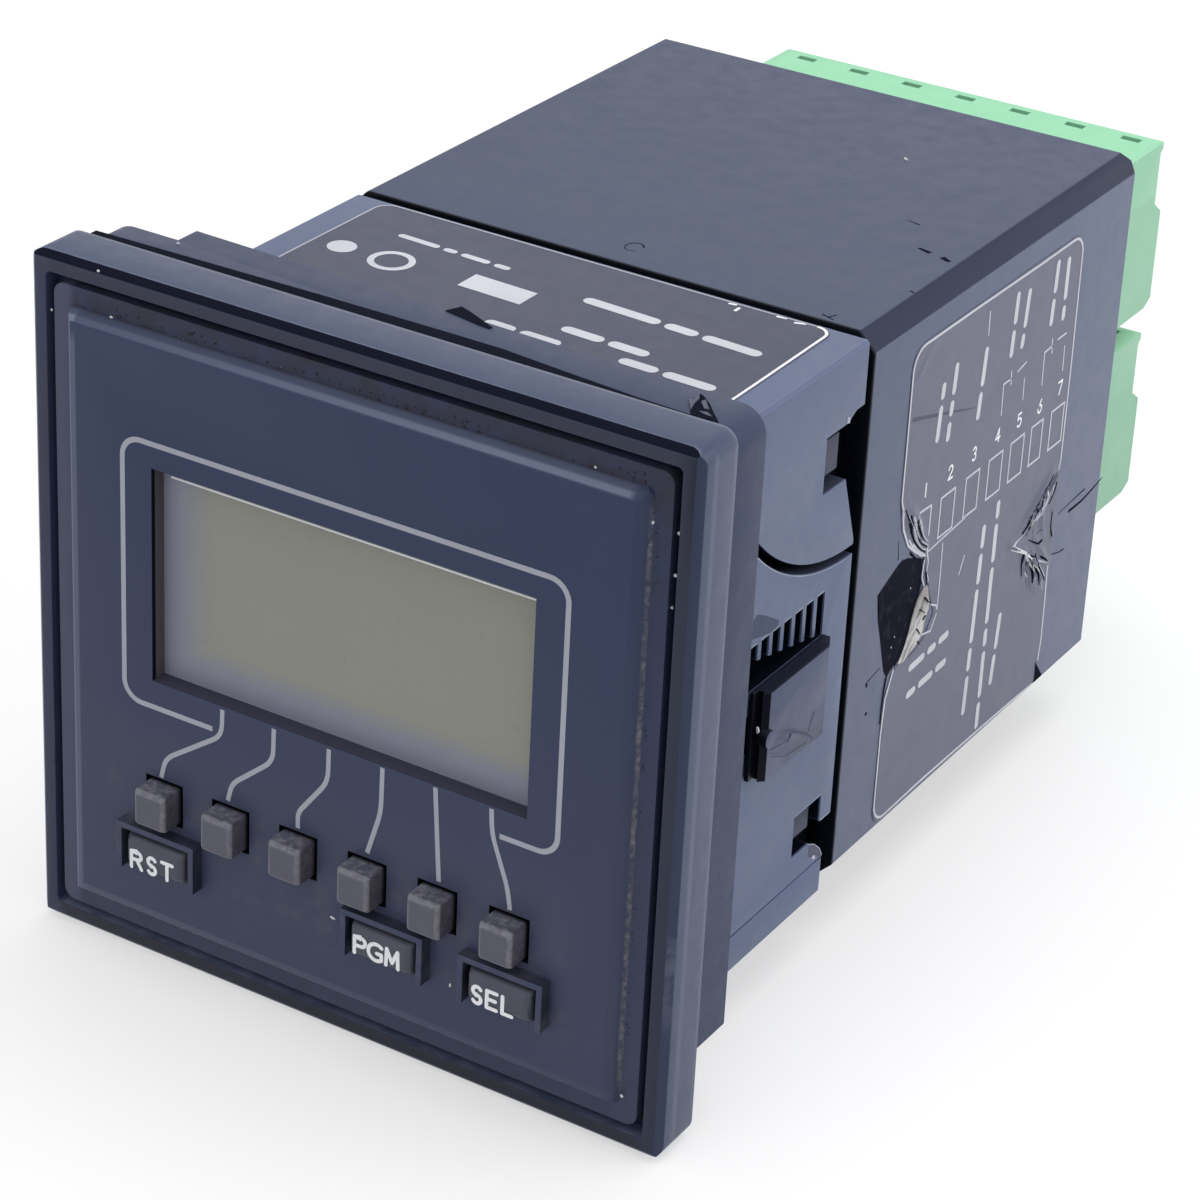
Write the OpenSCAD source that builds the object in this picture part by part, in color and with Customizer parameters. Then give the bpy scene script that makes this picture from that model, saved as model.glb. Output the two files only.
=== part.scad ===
// Panel counter for a 45 mm square cut-out: bezel with display and keys, moulded case with
// panel latches, rear housing and two plug-in terminal blocks. All sizes in millimetres.
// +X is right seen from the front, +Y runs to the rear and +Z is up.
// The origin is the centre of the panel seat, the rear plane of the panel seal.

/* [Bezel] */
// How far the bezel reaches past the case on each side
bezel_lap = 4.55; // [4.2:0.05:6]
// Depth of the bezel from its front edge to its rear face
bezel_depth = 4.3; // [4:0.1:8]
// Width of the rim seen from the front
rim_w = 1.45; // [1:0.05:2]
// Corner radius of the rim
rim_r = 1.2; // [0.6:0.1:2.5]
// Bevel along the rim's front edge
rim_bevel = 0.5; // [0.2:0.05:0.9]
// Width of the groove between rim and fascia
groove_w = 0.6; // [0.3:0.05:0.9]
// Corner radius of the rim's inner edge
groove_r = 0.4; // [0.2:0.05:1]

/* [Fascia] */
// Thickness of the fascia's margin
margin_t = 1.6; // [1.4:0.1:2.4]
// How far the margin lies behind the rim's front edge
margin_setback = 0.15; // [0:0.05:0.5]
// Width of the flat margin around the raised panel
margin_w = 1.35; // [0.8:0.05:2]
// Height of the raised panel in front of the rim's front edge
panel_rise = 0.9; // [0.4:0.05:1.5]
// Width of the slope around the raised panel
panel_slope = 0.85; // [0.4:0.05:1.5]
// Corner radius of the raised panel
panel_r = 0.8; // [0.4:0.1:4]
// Corner radius of the fascia plate
fascia_r = 0.9; // [0.4:0.1:2.5]

/* [Display] */
// Width of the bezel at each side of the display window
window_side = 11.1; // [10:0.1:13]
// Height of the bezel above and below the display window, together
window_rest = 36.8; // [35.5:0.1:41]
// Height of the window's centre above the bezel's centre
window_z = 5.2; // [4:0.1:6]
// Depth of the glass behind the raised panel's face
window_depth = 1.4; // [1.2:0.1:2]
// How far the glass reaches past the window on each side
glass_lap = 1.7; // [1:0.1:1.9]
// Thickness of the display glass
glass_t = 2.1; // [1.5:0.1:2.5]
// Width of each rubber contact strip
strip_w = 1.4; // [1:0.1:1.6]

/* [Digit keys] */
// Number of digit keys
digit_keys = 6;
// Distance between digit keys
key_pitch = 5.81; // [5.6:0.01:6]
// Width of a digit key
key_w = 2.7; // [2:0.05:3]
// Height of a digit key
key_h = 2.9; // [2:0.05:3]
// How far a digit key stands out of the raised panel
key_proud = 1.95; // [1.2:0.05:3]
// Bevel around a digit key's face
key_bevel = 0.3; // [0.1:0.05:0.6]
// Clearance around a digit key in its hole
digit_clear = 0.28; // [0.15:0.01:0.3]
// Height of the digit keys' centre line above the bezel's lower edge
key_row_up = 14.2; // [14.05:0.05:14.65]

/* [Legend keys] */
// Width of a legend key
legend_w = 5.3; // [4.4:0.05:5.6]
// Height of a legend key
legend_h = 2.7; // [2:0.05:2.8]
// How far a legend key stands out of the raised panel
legend_proud = 1.25; // [0.8:0.05:1.8]
// Bevel around a legend key's face
legend_bevel = 0.45; // [0.2:0.05:0.6]
// Clearance around a legend key in its hole
legend_clear = 0.3; // [0.15:0.01:0.35]
// Height of the legend keys' centre line above the bezel's lower edge
legend_row_up = 9.85; // [9.55:0.05:9.9]
// Place of the reset key from the bezel's centre, to the left
reset_x = 14.6; // [14.2:0.1:15.2]
// Place of the program key from the bezel's centre, to the right
program_x = 4.9; // [4:0.1:5.5]
// Place of the select key from the bezel's centre, to the right
select_x = 14.6; // [14.2:0.1:15.2]
// Wall of the guard around a legend key
guard_w = 0.45; // [0.3:0.05:0.6]
// Height of the guard above the raised panel
guard_rise = 1.1; // [0.3:0.05:1.4]

/* [Key action] */
// Travel of every key
key_travel = 0.8; // [0.4:0.05:1]
// Thickness of the flange that holds a key behind the fascia
flange_t = 0.8; // [0.5:0.05:1]
// How far the flange reaches past the key
flange_lap = 0.6; // [0.4:0.05:0.65]
// Clearance between a key's flange and the parts around it
key_clear = 0.12; // [0.1:0.01:0.2]
// Height of a snap dome on the display board
dome_h = 0.85; // [0.6:0.05:1.2]

/* [Panel seal] */
// Thickness of the seal between the bezel and the panel
seal_t = 4.9; // [2:0.1:6]
// Width of the seal's bar around the case
seal_bar = 3.9; // [3:0.1:4.4]
// Radius of the two upper corners
seal_r = 1.9; // [0.5:0.1:3]
// Cut at the two lower corners
seal_cut = 5.4; // [3:0.1:7]
// Height of the swollen ledge along the top edge
ledge_h = 1.2; // [0.4:0.1:1.6]
// Depth of the step at the upper left corner
step_h = 0.9; // [0.3:0.1:1.5]
// Length of that step, from the left edge
step_len = 5.7; // [3:0.1:8]

/* [Case] */
// Width and height of the case
case_size = 44.2; // [43:0.1:44.6]
// Length of the case behind the bezel
case_len = 26.4; // [25:0.1:32]
// Wall of the case
case_wall = 2; // [1.6:0.1:2.4]
// Bevel along the case's left edges
case_bevel = 1.3; // [0.6:0.1:2]
// Play between the case and what fits in or on it
case_clear = 0.2; // [0.1:0.05:0.3]
// Radius of the arc-shaped slot that frees the snap arm
arc_r = 20.4; // [17:0.1:23]
// Width of the arc-shaped slot
arc_w = 0.75; // [0.4:0.05:1.2]

/* [Panel latch] */
// Length of the latch plate
latch_len = 10.4; // [8:0.1:12]
// Height of the latch plate
latch_h = 7; // [6:0.1:7.4]
// How far the latch plate stands off the case
latch_t = 1.35; // [1:0.05:2.5]
// Centre of the latch, below the bezel's centre
latch_z = 2.7; // [2:0.1:4]
// Distance from the panel seat to the latch's front end at rest
latch_y = 7.4; // [6.5:0.1:8]
// Pitch of the ratchet slots
ratchet_pitch = 1.58; // [1.3:0.01:1.7]
// Number of ratchet slots
ratchet_slots = 7;
// Width of a ratchet slot
ratchet_slot_w = 1.1; // [0.6:0.05:1.2]
// Height of the ratchet slots above the latch
ratchet_slot_h = 3.4; // [2.6:0.1:4]
// Height of the open wedge below the ratchet's teeth, at its front end
wedge_h = 2.3; // [1:0.1:2.4]

/* [Rear housing] */
// How far the rear housing's sides lie inside the case's sides
housing_inset = 0; // [0:0.1:0.5]
// Length of the rear housing
housing_len = 43.8; // [40:0.1:60]
// Wall of the rear housing
housing_wall = 2; // [1.6:0.1:2.4]
// Bevel along the rear housing's long edges
housing_bevel = 1.4; // [0.8:0.1:2.4]
// Gap between the case and the rear housing
joint_gap = 0.9; // [0.4:0.1:2]
// Length of the sleeve that enters the case
sleeve_len = 2.6; // [1.5:0.1:3]
// Length of the snap arms that enter the case
arm_len = 6.4; // [5.5:0.1:7]
// Wall of the sleeve and of the snap arms
sleeve_wall = 1.3; // [1:0.1:1.6]

/* [Boards] */
// Thickness of the circuit boards
board_t = 1.6; // [1:0.1:2]
// Distance from the case's inner wall to the main boards' edges
board_inset = 1.9; // [1.6:0.1:2.6]
// Diameter of the posts that carry the display board
post_d = 3; // [2.4:0.1:3.2]
// Core diameter of the board screws
screw_d = 1.6; // [1.2:0.1:1.8]
// Diameter of the board screws' heads
screw_head_d = 3.2; // [2.4:0.1:3.6]

/* [Terminals] */
// Number of poles in each plug
poles = 7;
// Distance between poles
pole_pitch = 5.08; // [5:0.01:5.1]
// Height of a plug
plug_h = 14.9; // [13:0.1:15.6]
// Length of a plug behind the rear housing
plug_len = 16.5; // [14:0.1:20]
// Height of each plug's centre above or below the middle of the pair
plug_z = 8.6; // [8.3:0.05:9]
// Height of the pair's middle above the bezel's centre
plug_mid = 1.3; // [0:0.1:1.5]
// Length of a plug's nose inside its header
nose_len = 7.5; // [6:0.1:8]
// Height of a plug's nose
nose_h = 7.6; // [6:0.1:8]
// Diameter of a screw opening in a plug
screw_hole_d = 3.5; // [3:0.1:3.8]
// Width and height of a wire opening in a plug
wire_hole = 3.2; // [2.6:0.1:3.6]
// Thickness of a pin in the headers
pin_t = 1; // [0.8:0.05:1.2]
// Wall of a header
header_wall = 1; // [0.8:0.1:1.2]
// Depth of a header inside the rear housing
header_len = 12; // [10:0.1:14]

/* [Hidden] */
$fn = 48;
eps = 0.01;
plug_clear = 0.15;

// Sizes that follow the case
bezel_size = case_size + 2 * bezel_lap;
seal_size = case_size + 2 * seal_bar;
housing_size = case_size - 2 * housing_inset;
window_w = bezel_size - 2 * window_side;
window_h = bezel_size - window_rest;
key_row_z = bezel_size / 2 - key_row_up;
legend_row_z = bezel_size / 2 - legend_row_up;

// Planes along Y, from the front
rim_back = -seal_t;
rim_front = rim_back - bezel_depth;
panel_front = rim_front - panel_rise;
margin_front = rim_front + margin_setback;
margin_back = margin_front + margin_t;
glass_front = panel_front + window_depth;
glass_back = glass_front + glass_t;
flange_front = margin_back + key_clear;
flange_back = flange_front + flange_t;
dome_front = flange_back + key_travel + key_clear;
board_front = dome_front + dome_h;
board_back = board_front + board_t;
case_back = rim_back + case_len;
housing_front = case_back + joint_gap;
housing_back = housing_front + housing_len;
plug_back = housing_back + plug_len;

// Half sizes and openings
case_half = case_size / 2;
case_in = case_half - case_wall;
board_w = 2 * (case_in - board_inset);
sleeve_half = case_in - case_clear;
sleeve_in = sleeve_half - sleeve_wall;
housing_half = housing_size / 2;
housing_in = housing_half - housing_wall;
fascia_half = bezel_size / 2 - rim_w - groove_w;
panel_half = fascia_half - margin_w;
glass_w = window_w + 2 * glass_lap;
glass_h = window_h + 2 * glass_lap;
plug_w = poles * pole_pitch - plug_clear;
nose_w = plug_w - 2 * header_wall;
header_w = nose_w + 2 * header_wall + 2 * plug_clear;
header_h = nose_h + 2 * header_wall + 2 * plug_clear;
header_front = housing_back - header_len;
header_cavity = nose_len + plug_clear;
upper_plug_z = plug_mid + plug_z;
lower_plug_z = plug_mid - plug_z;
upper_board_top = upper_plug_z - header_h / 2;
lower_board_top = lower_plug_z - header_h / 2;
main_board_front = board_back + case_clear;
pole_x = [for (i = [0 : poles - 1]) (i - (poles - 1) / 2) * pole_pitch];
digit_x = [for (i = [0 : digit_keys - 1]) (i - (digit_keys - 1) / 2) * key_pitch];
legend_x = [-reset_x, program_x, select_x];

// Places of the display board's posts, clear of glass and keys
post_x = case_in - post_d / 2 - case_clear;
post_top_z = window_z + glass_h / 2 + post_d / 2 + 2 * case_clear;
post_low_z = window_z - glass_h / 2 - post_d;
posts = [for (x = [-post_x, post_x], z = [post_top_z, post_low_z]) [x, z]];

// Ratchet and slide slot in each side wall of the case
ratchet_len = (ratchet_slots - 1) * ratchet_pitch + ratchet_slot_w;
slot_front = latch_y - case_clear;
latch_top = latch_h / 2 - latch_z;
slide_h = 3;
foot_len = 2;
foot_head = 0.7;
foot_y = latch_y + latch_len / 2;

// Snap windows in the case's side walls: front edge, upper and lower ends
snap_front = case_back - 5.3;
snap_hi = [12.25, 16.65];
snap_lo = [-16.8, -13.4];

// Block between two Y planes, centred on x and z
module slab(w, h, y0, y1, x = 0, z = 0) {
    translate([x - w / 2, y0, z - h / 2])
        cube([w, y1 - y0, h]);
}

// Flat outline drawn in X and Z, extruded between two Y planes
module along_y(y0, y1) {
    translate([0, y1, 0])
        rotate([90, 0, 0])
            linear_extrude(y1 - y0)
                children();
}

// Flat outline drawn in Y and Z, extruded between two X planes
module along_x(x0, x1) {
    translate([x0, 0, 0])
        rotate([90, 0, 90])
            linear_extrude(x1 - x0)
                children();
}

// Rectangle with round corners, made of squares and circles
module round_rect(w, h, r) {
    square([w - 2 * r, h], center = true);
    square([w, h - 2 * r], center = true);
    for (x = [-1, 1], z = [-1, 1])
        translate([x * (w / 2 - r), z * (h / 2 - r)])
            circle(r);
}

// Square outline with bevelled corners, one bevel for each side
module bevel_square(size, left, right) {
    s = size / 2;
    polygon([[-s + left, -s], [s - right, -s], [s, -s + right], [s, s - right],
        [s - right, s], [-s + left, s], [-s, s - left], [-s, -s + left]]);
}

// Prism between two Y planes whose front edges are bevelled all round
module bevel_prism(w, h, y0, y1, bevel) {
    intersection() {
        linear_extrude(h, center = true)
            bevel_profile(w, y0, y1, bevel);
        rotate([0, 90, 0])
            linear_extrude(w, center = true)
                bevel_profile(h, y0, y1, bevel);
    }
}

// Section of such a prism: width along the first axis, depth along Y
module bevel_profile(w, y0, y1, bevel) {
    polygon([[-w / 2, y1], [w / 2, y1], [w / 2, y0 + bevel], [w / 2 - bevel, y0],
        [bevel - w / 2, y0], [-w / 2, y0 + bevel]]);
}

// Section of the raised panel: a short slope with a broken edge
module panel_profile() {
    s = panel_half;
    rise = margin_front - panel_front;
    polygon([[-s, margin_back], [s, margin_back], [s, margin_front],
        [s - 0.6 * panel_slope, panel_front + 0.25 * rise], [s - panel_slope, panel_front],
        [panel_slope - s, panel_front], [0.6 * panel_slope - s, panel_front + 0.25 * rise],
        [-s, margin_front]]);
}

module raised_panel() {
    intersection() {
        linear_extrude(2 * panel_half, center = true)
            panel_profile();
        rotate([0, 90, 0])
            linear_extrude(2 * panel_half, center = true)
                panel_profile();
        along_y(panel_front, margin_back)
            round_rect(2 * panel_half, 2 * panel_half, panel_r);
    }
}

// Frame with a bevelled rim, a ledge for the fascia and an opening the size of the case's bore
module bezel() {
    color("#3f414d")
        difference() {
            intersection() {
                bevel_prism(bezel_size, bezel_size, rim_front, rim_back, rim_bevel);
                along_y(rim_front, rim_back)
                    round_rect(bezel_size, bezel_size, rim_r);
            }
            along_y(rim_front - eps, margin_back)
                round_rect(2 * (fascia_half + groove_w), 2 * (fascia_half + groove_w), groove_r);
            slab(2 * case_in, 2 * case_in, rim_front, rim_back + eps);
        }
}

// Plate with a raised panel, window, key holes and key guards; posts carry the display board
module fascia() {
    color("#3f465c")
        difference() {
            union() {
                along_y(margin_front, margin_back)
                    round_rect(2 * fascia_half, 2 * fascia_half, fascia_r);
                raised_panel();
                for (x = legend_x)
                    legend_guard(x);
                for (p = posts)
                    translate([p[0], board_front, p[1]])
                        rotate([90, 0, 0])
                            cylinder(h = board_front - margin_back + eps, d = post_d);
            }
            slab(window_w, window_h, panel_front - eps, margin_back + eps, 0, window_z);
            slab(glass_w + 2 * key_clear, glass_h + 2 * key_clear, glass_front, margin_back + eps,
                0, window_z);
            for (x = digit_x)
                slab(key_w + 2 * digit_clear, key_h + 2 * digit_clear, panel_front - eps,
                    margin_back + eps, x, -key_row_z);
            for (x = legend_x)
                slab(legend_w + 2 * legend_clear, legend_h + 2 * legend_clear,
                    panel_front - guard_rise - eps, margin_back + eps, x, -legend_row_z);
            for (p = posts)
                translate([p[0], board_front + eps, p[1]])
                    rotate([90, 0, 0])
                        cylinder(h = board_front - margin_back, d = screw_d);
        }
}

// Raised guard at the two sides and the top of one legend key, open below
module legend_guard(x) {
    w = legend_w + 2 * legend_clear + 2 * guard_w;
    h = legend_h + 2 * legend_clear + guard_w;
    slab(w, h, panel_front - guard_rise, panel_front + eps, x, -legend_row_z + guard_w / 2);
}

module display_glass() {
    color("#82857a")
        slab(glass_w, glass_h, glass_front, glass_back, 0, window_z);
}

// Light panel between the glass and the display board
module backlight() {
    color("#d8dad2")
        slab(glass_w, glass_h - 2 * strip_w - 2 * key_clear, glass_back, board_front, 0, window_z);
}

module contact_strips() {
    color("#b9a7a0")
        for (side = [-1, 1])
            slab(glass_w, strip_w, glass_back, board_front, 0,
                window_z + side * (glass_h - strip_w) / 2);
}

module display_board() {
    board = 2 * case_in - 2 * case_clear;
    color("#2f6b45")
        difference() {
            slab(board, board, board_front, board_back);
            for (p = posts)
                translate([p[0], board_back + eps, p[1]])
                    rotate([90, 0, 0])
                        cylinder(h = board_t + 2 * eps, d = screw_d + case_clear);
        }
}

// One snap dome under each key
module snap_domes() {
    dome_d = 3.2;
    color("#c9ccd0") {
        for (x = digit_x)
            snap_dome(x, -key_row_z, dome_d);
        for (x = legend_x)
            snap_dome(x, -legend_row_z, dome_d);
    }
}

module snap_dome(x, z, d) {
    translate([x, board_front, z])
        rotate([90, 0, 0])
            cylinder(h = dome_h, d1 = d, d2 = d / 3);
}

module board_screws() {
    head_t = 1.1;
    shank = board_t + 0.7 * (board_front - margin_back);
    color("#b9bcc2")
        for (p = posts)
            translate([p[0], board_back + head_t, p[1]])
                rotate([90, 0, 0])
                    difference() {
                        union() {
                            cylinder(h = head_t, d = screw_head_d);
                            cylinder(h = head_t + shank, d = screw_d);
                        }
                        for (turn = [0, 90])
                            rotate(turn)
                                cube([0.6 * screw_head_d, 0.4, head_t], center = true);
                    }
}

// Key with a bevelled face and a flange that stays behind the fascia
module key(w, h, proud, bevel, x, z) {
    translate([x, 0, z])
        bevel_prism(w, h, panel_front - proud, flange_back, bevel);
    slab(w + 2 * flange_lap, h + 2 * flange_lap, flange_front, flange_back, x, z);
}

module digit_key(index) {
    color("#5d5b5a")
        key(key_w, key_h, key_proud, key_bevel, digit_x[index], -key_row_z);
}

module legend_key(index) {
    color("#37373e")
        key(legend_w, legend_h, legend_proud, legend_bevel, legend_x[index], -legend_row_z);
}

// Soft frame behind the bezel: cut lower corners, a swollen ledge and a step at the upper left
module panel_seal() {
    s = seal_size / 2;
    color("#33353d")
        difference() {
            union() {
                along_y(rim_back, 0)
                    seal_outline(s);
                translate([0, 0, s - seal_ledge_w()])
                    linear_extrude(seal_ledge_w())
                        polygon([[step_len - s, -eps], [s - step_len, -eps],
                            [step_len - s, ledge_h]]);
            }
            slab(case_size + 2 * case_clear, case_size + 2 * case_clear, rim_back - eps,
                ledge_h + eps);
            translate([-s - eps, -step_h, case_half])
                cube([step_len + eps, step_h + ledge_h, s]);
        }
}

// Outline of the seal: upper corners round, lower corners cut
module seal_outline(s) {
    difference() {
        round_rect(2 * s, 2 * s, seal_r);
        for (side = [-1, 1])
            polygon([[side * (s + eps), -s - eps], [side * (s + eps), seal_cut - s],
                [side * (s - seal_cut), -s - eps]]);
    }
}

// Width of the seal's bar between the case and its outer edge
function seal_ledge_w() = seal_size / 2 - case_half - case_clear;

// Square tube with snap windows, arc slots and latch ratchets in both side walls
module case() {
    color("#6f778c")
        difference() {
            along_y(rim_back, case_back)
                bevel_square(case_size, case_bevel, case_clear);
            slab(2 * case_in, 2 * case_in, rim_back - eps, case_back + eps);
            case_side_cuts();
            mirror([1, 0, 0])
                case_side_cuts();
        }
}

module case_side_cuts() {
    arc_top = 13.4;
    arc_low = 6;
    x0 = case_in - eps;
    x1 = case_half + eps;
    lift = 2.2;
    hook = 1.7;
    heel = 0.9;
    // Arc-shaped slot below the snap arm
    along_x(x0, x1)
        intersection() {
            translate([case_back + eps, arc_low + arc_r])
                difference() {
                    circle(arc_r + arc_w / 2, $fn = 96);
                    circle(arc_r - arc_w / 2, $fn = 96);
                }
            translate([rim_back + seal_t + case_clear, 0])
                square([case_back, arc_top]);
        }
    // Snap windows, open to the rear: the lower one ends in a hook above a set-back heel
    along_x(x0, x1) {
        polygon([[snap_front, snap_hi[1]], [snap_front + 3, snap_hi[1]],
            [snap_front + 4.2, snap_hi[1] + 0.6], [case_back + eps, snap_hi[1] + 0.6],
            [case_back + eps, arc_low + arc_w], [snap_front + 3.3, snap_hi[0]],
            [snap_front, snap_hi[0]]]);
        polygon([[snap_front - 0.4, snap_lo[1]], [case_back - hook, snap_lo[1]],
            [case_back - hook, snap_lo[1] - lift], [case_back + eps, snap_lo[1] - lift],
            [case_back + eps, -case_half - eps], [case_back - heel, -case_half - eps],
            [case_back - heel, snap_lo[0] - lift], [snap_front + lift, snap_lo[0] - 1.2],
            [snap_front + lift, snap_lo[0]], [snap_front - 0.4, snap_lo[0]]]);
    }
    // Slide slot for the latch's foot, open wedge and ratchet slots above the latch
    slab(case_wall + 2 * eps, slide_h, slot_front, slot_front + ratchet_len,
        case_half - case_wall / 2, -latch_z);
    along_x(x0, x1) {
        polygon([[slot_front, latch_top - case_clear], [slot_front, latch_top + wedge_h],
            [slot_front + ratchet_len, latch_top], [slot_front + ratchet_len, latch_top - case_clear]]);
        for (i = [0 : ratchet_slots - 1])
            translate([slot_front + i * ratchet_pitch, latch_top - case_clear])
                square([ratchet_slot_w, ratchet_slot_h + case_clear]);
    }
    // Parting line low on the wall
    slab(case_clear, case_clear, eps, case_back + eps, case_half, -0.86 * case_half);
}

// Sliding panel latch: plate with a bevelled front, nub, and a T-shaped foot through the slot
module latch() {
    color("#2b2c31") {
        z0 = -latch_z - latch_h / 2;
        difference() {
            translate([0, 0, z0])
                linear_extrude(latch_h)
                    polygon([[case_half + case_clear / 2, latch_y],
                        [case_half + 0.4 * latch_t, latch_y],
                        [case_half + latch_t, latch_y + 0.6 * latch_t],
                        [case_half + latch_t, latch_y + latch_len - latch_t],
                        [case_half + 0.5 * latch_t, latch_y + latch_len],
                        [case_half + case_clear / 2, latch_y + latch_len]]);
            // Groove across the front end and a hollow that opens at the top
            slab(0.35 * latch_t, latch_h + eps, latch_y - eps, latch_y + 0.5 * latch_t,
                case_half + 0.5 * latch_t, -latch_z);
            slab(0.4 * latch_t, latch_h, latch_y + latch_t, latch_y + latch_len - latch_t,
                case_half + 0.55 * latch_t, latch_h / 2 - latch_z);
        }
        translate([case_half + 0.7 * latch_t, latch_y + 0.5 * latch_t, -latch_z])
            rotate([0, 90, 0])
                cylinder(h = 0.5 * latch_t, d = latch_t);
        slab(case_wall + case_clear, slide_h - 2 * case_clear, foot_y, foot_y + foot_len,
            case_half - case_wall / 2, -latch_z);
        slab(foot_head, slide_h + 2, foot_y, foot_y + foot_len,
            case_in - case_clear / 2 - foot_head / 2, -latch_z);
    }
}

module latch_right() {
    latch();
}

module latch_left() {
    mirror([1, 0, 0])
        latch();
}

// Sleeve with a closed rear wall, header openings, board rails and snap arms at the front
module rear_housing() {
    color("#4a4d58") {
        difference() {
            intersection() {
                along_y(housing_front, housing_back)
                    bevel_square(housing_size, housing_bevel, housing_bevel);
                mirror([0, 1, 0])
                    bevel_prism(housing_size, housing_size, -housing_back, -housing_front,
                        housing_bevel / 2);
            }
            slab(2 * housing_in, 2 * housing_in, housing_front - eps,
                housing_back - housing_wall);
            for (side = [-1, 1])
                slab(header_w + 2 * plug_clear, header_h + 2 * plug_clear, housing_front,
                    housing_back + eps, 0, plug_mid + side * plug_z);
        }
        difference() {
            slab(2 * sleeve_half, 2 * sleeve_half, housing_front - joint_gap - sleeve_len,
                housing_front + sleeve_wall);
            slab(2 * sleeve_in, 2 * sleeve_in,
                housing_front - joint_gap - sleeve_len - eps, housing_front + sleeve_wall + eps);
        }
        for (side = [-1, 1]) {
            for (span = [snap_hi, snap_lo])
                snap_arm(side, span);
            for (top = [upper_board_top, lower_board_top])
                board_rail(side, top);
        }
    }
}

// Arm beside the case's wall, with a tab that fills its snap window
module snap_arm(side, span) {
    h = span[1] - span[0] - 2 * case_clear;
    z = (span[0] + span[1]) / 2;
    tab_len = 2.8;
    arm_front = case_back - arm_len;
    slab(sleeve_wall, h, arm_front, housing_front, side * (sleeve_half - sleeve_wall / 2), z);
    slab(0.8 * case_wall + sleeve_wall, h - 1.2, snap_front + case_clear,
        snap_front + case_clear + tab_len, side * (sleeve_half - sleeve_wall + 0.4 * case_wall
        + sleeve_wall / 2), z);
}

// Two ribs that hold one edge of a main board
module board_rail(side, top) {
    rib_t = 1.2;
    rib_in = board_w / 2 - 0.7;
    rib_w = housing_in - rib_in + eps;
    for (z = [top + case_clear / 2 + rib_t / 2, top - board_t - case_clear / 2 - rib_t / 2])
        slab(rib_w, rib_t, housing_front + sleeve_wall, header_front - case_clear,
            side * (rib_in + rib_w / 2), z);
}

module main_board(top) {
    color("#2f6b45")
        slab(board_w, board_t, main_board_front, housing_back - housing_wall - case_clear, 0,
            top - board_t / 2);
}

module upper_board() {
    main_board(upper_board_top);
}

module lower_board() {
    main_board(lower_board_top);
}

// Angled pin strips between the display board and the main boards
module board_links() {
    strip = board_w * [0.6, 0.135, 0.07];
    color("#1d1e21")
        for (top = [upper_board_top, lower_board_top])
            slab(strip[0], strip[2], board_back, board_back + case_clear + strip[1], 0,
                top + strip[2] / 2);
}

// Mains transformer on the upper board: core and winding
module transformer() {
    room = sleeve_in - upper_board_top;
    core = [0.6 * board_w, 0.64 * case_len, 0.94 * room];
    winding = [0.38 * board_w, 0.87 * case_len, 0.8 * room];
    x = -0.11 * board_w;
    y = case_back - 0.23 * case_len;
    color("#6b6660")
        slab(core[0], core[2], y - core[1] / 2, y + core[1] / 2, x, upper_board_top + core[2] / 2);
    color("#a8742c")
        slab(winding[0], winding[2], y - winding[1] / 2, y + winding[1] / 2, x,
            upper_board_top + winding[2] / 2);
}

// Two output relays on the lower board
module relays() {
    relay = board_w * [0.27, 0.52, 0.3];
    y = housing_front + 0.18 * housing_len;
    color("#20242c")
        for (x = [-1, 1])
            slab(relay[0], relay[2], y, y + relay[1],
                x * 0.7 * relay[0], lower_board_top + relay[2] / 2);
}

module capacitor() {
    can_d = 0.25 * board_w;
    can_h = 0.33 * board_w;
    color("#26304a")
        translate([0.28 * board_w, housing_front + 0.23 * housing_len, upper_board_top])
            cylinder(h = can_h, d = can_d);
}

module processor() {
    chip = board_w * [0.36, 0.36, 0.06];
    y = main_board_front + 0.3 * case_len;
    color("#17181a")
        slab(chip[0], chip[2], y, y + chip[1], 0,
            lower_board_top + chip[2] / 2);
}

// Socket that stands on its board, open to the rear
module header(z) {
    color("#4fae6c")
        difference() {
            slab(header_w, header_h, header_front, housing_back, 0, z);
            slab(nose_w + 2 * plug_clear, nose_h + 2 * plug_clear, housing_back - header_cavity,
                housing_back + eps, 0, z);
            for (x = pole_x)
                slab(pin_t, pin_t, header_front - eps, housing_back, x, z);
        }
}

module upper_header() {
    header(upper_plug_z);
}

module lower_header() {
    header(lower_plug_z);
}

// Pins of both headers, each bent down to its board
module header_pins() {
    pin_reach = housing_back - 0.25 * nose_len;
    color("#c8b26a")
        for (z = [upper_plug_z, lower_plug_z], x = pole_x) {
            slab(pin_t, pin_t, header_front - pin_t, pin_reach, x, z);
            slab(pin_t, header_h / 2 + pin_t / 2, header_front - pin_t, header_front, x,
                z + pin_t / 4 - header_h / 4);
        }
}

// Outline of a plug seen from its end, around its own centre: lip, bump and bevelled foot
module plug_profile() {
    y0 = housing_back + plug_clear;
    top = plug_h / 2;
    step = 1.4;
    polygon([[y0, -top], [plug_back - 1.2, -top], [plug_back, 0.6 - top],
        [plug_back, top - 6.4], [plug_back - step, top - 5.4], [plug_back - step, top - 0.9],
        [plug_back - 0.7 * step, top - 0.6], [plug_back - 0.7 * step, top], [y0, top]]);
}

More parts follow.
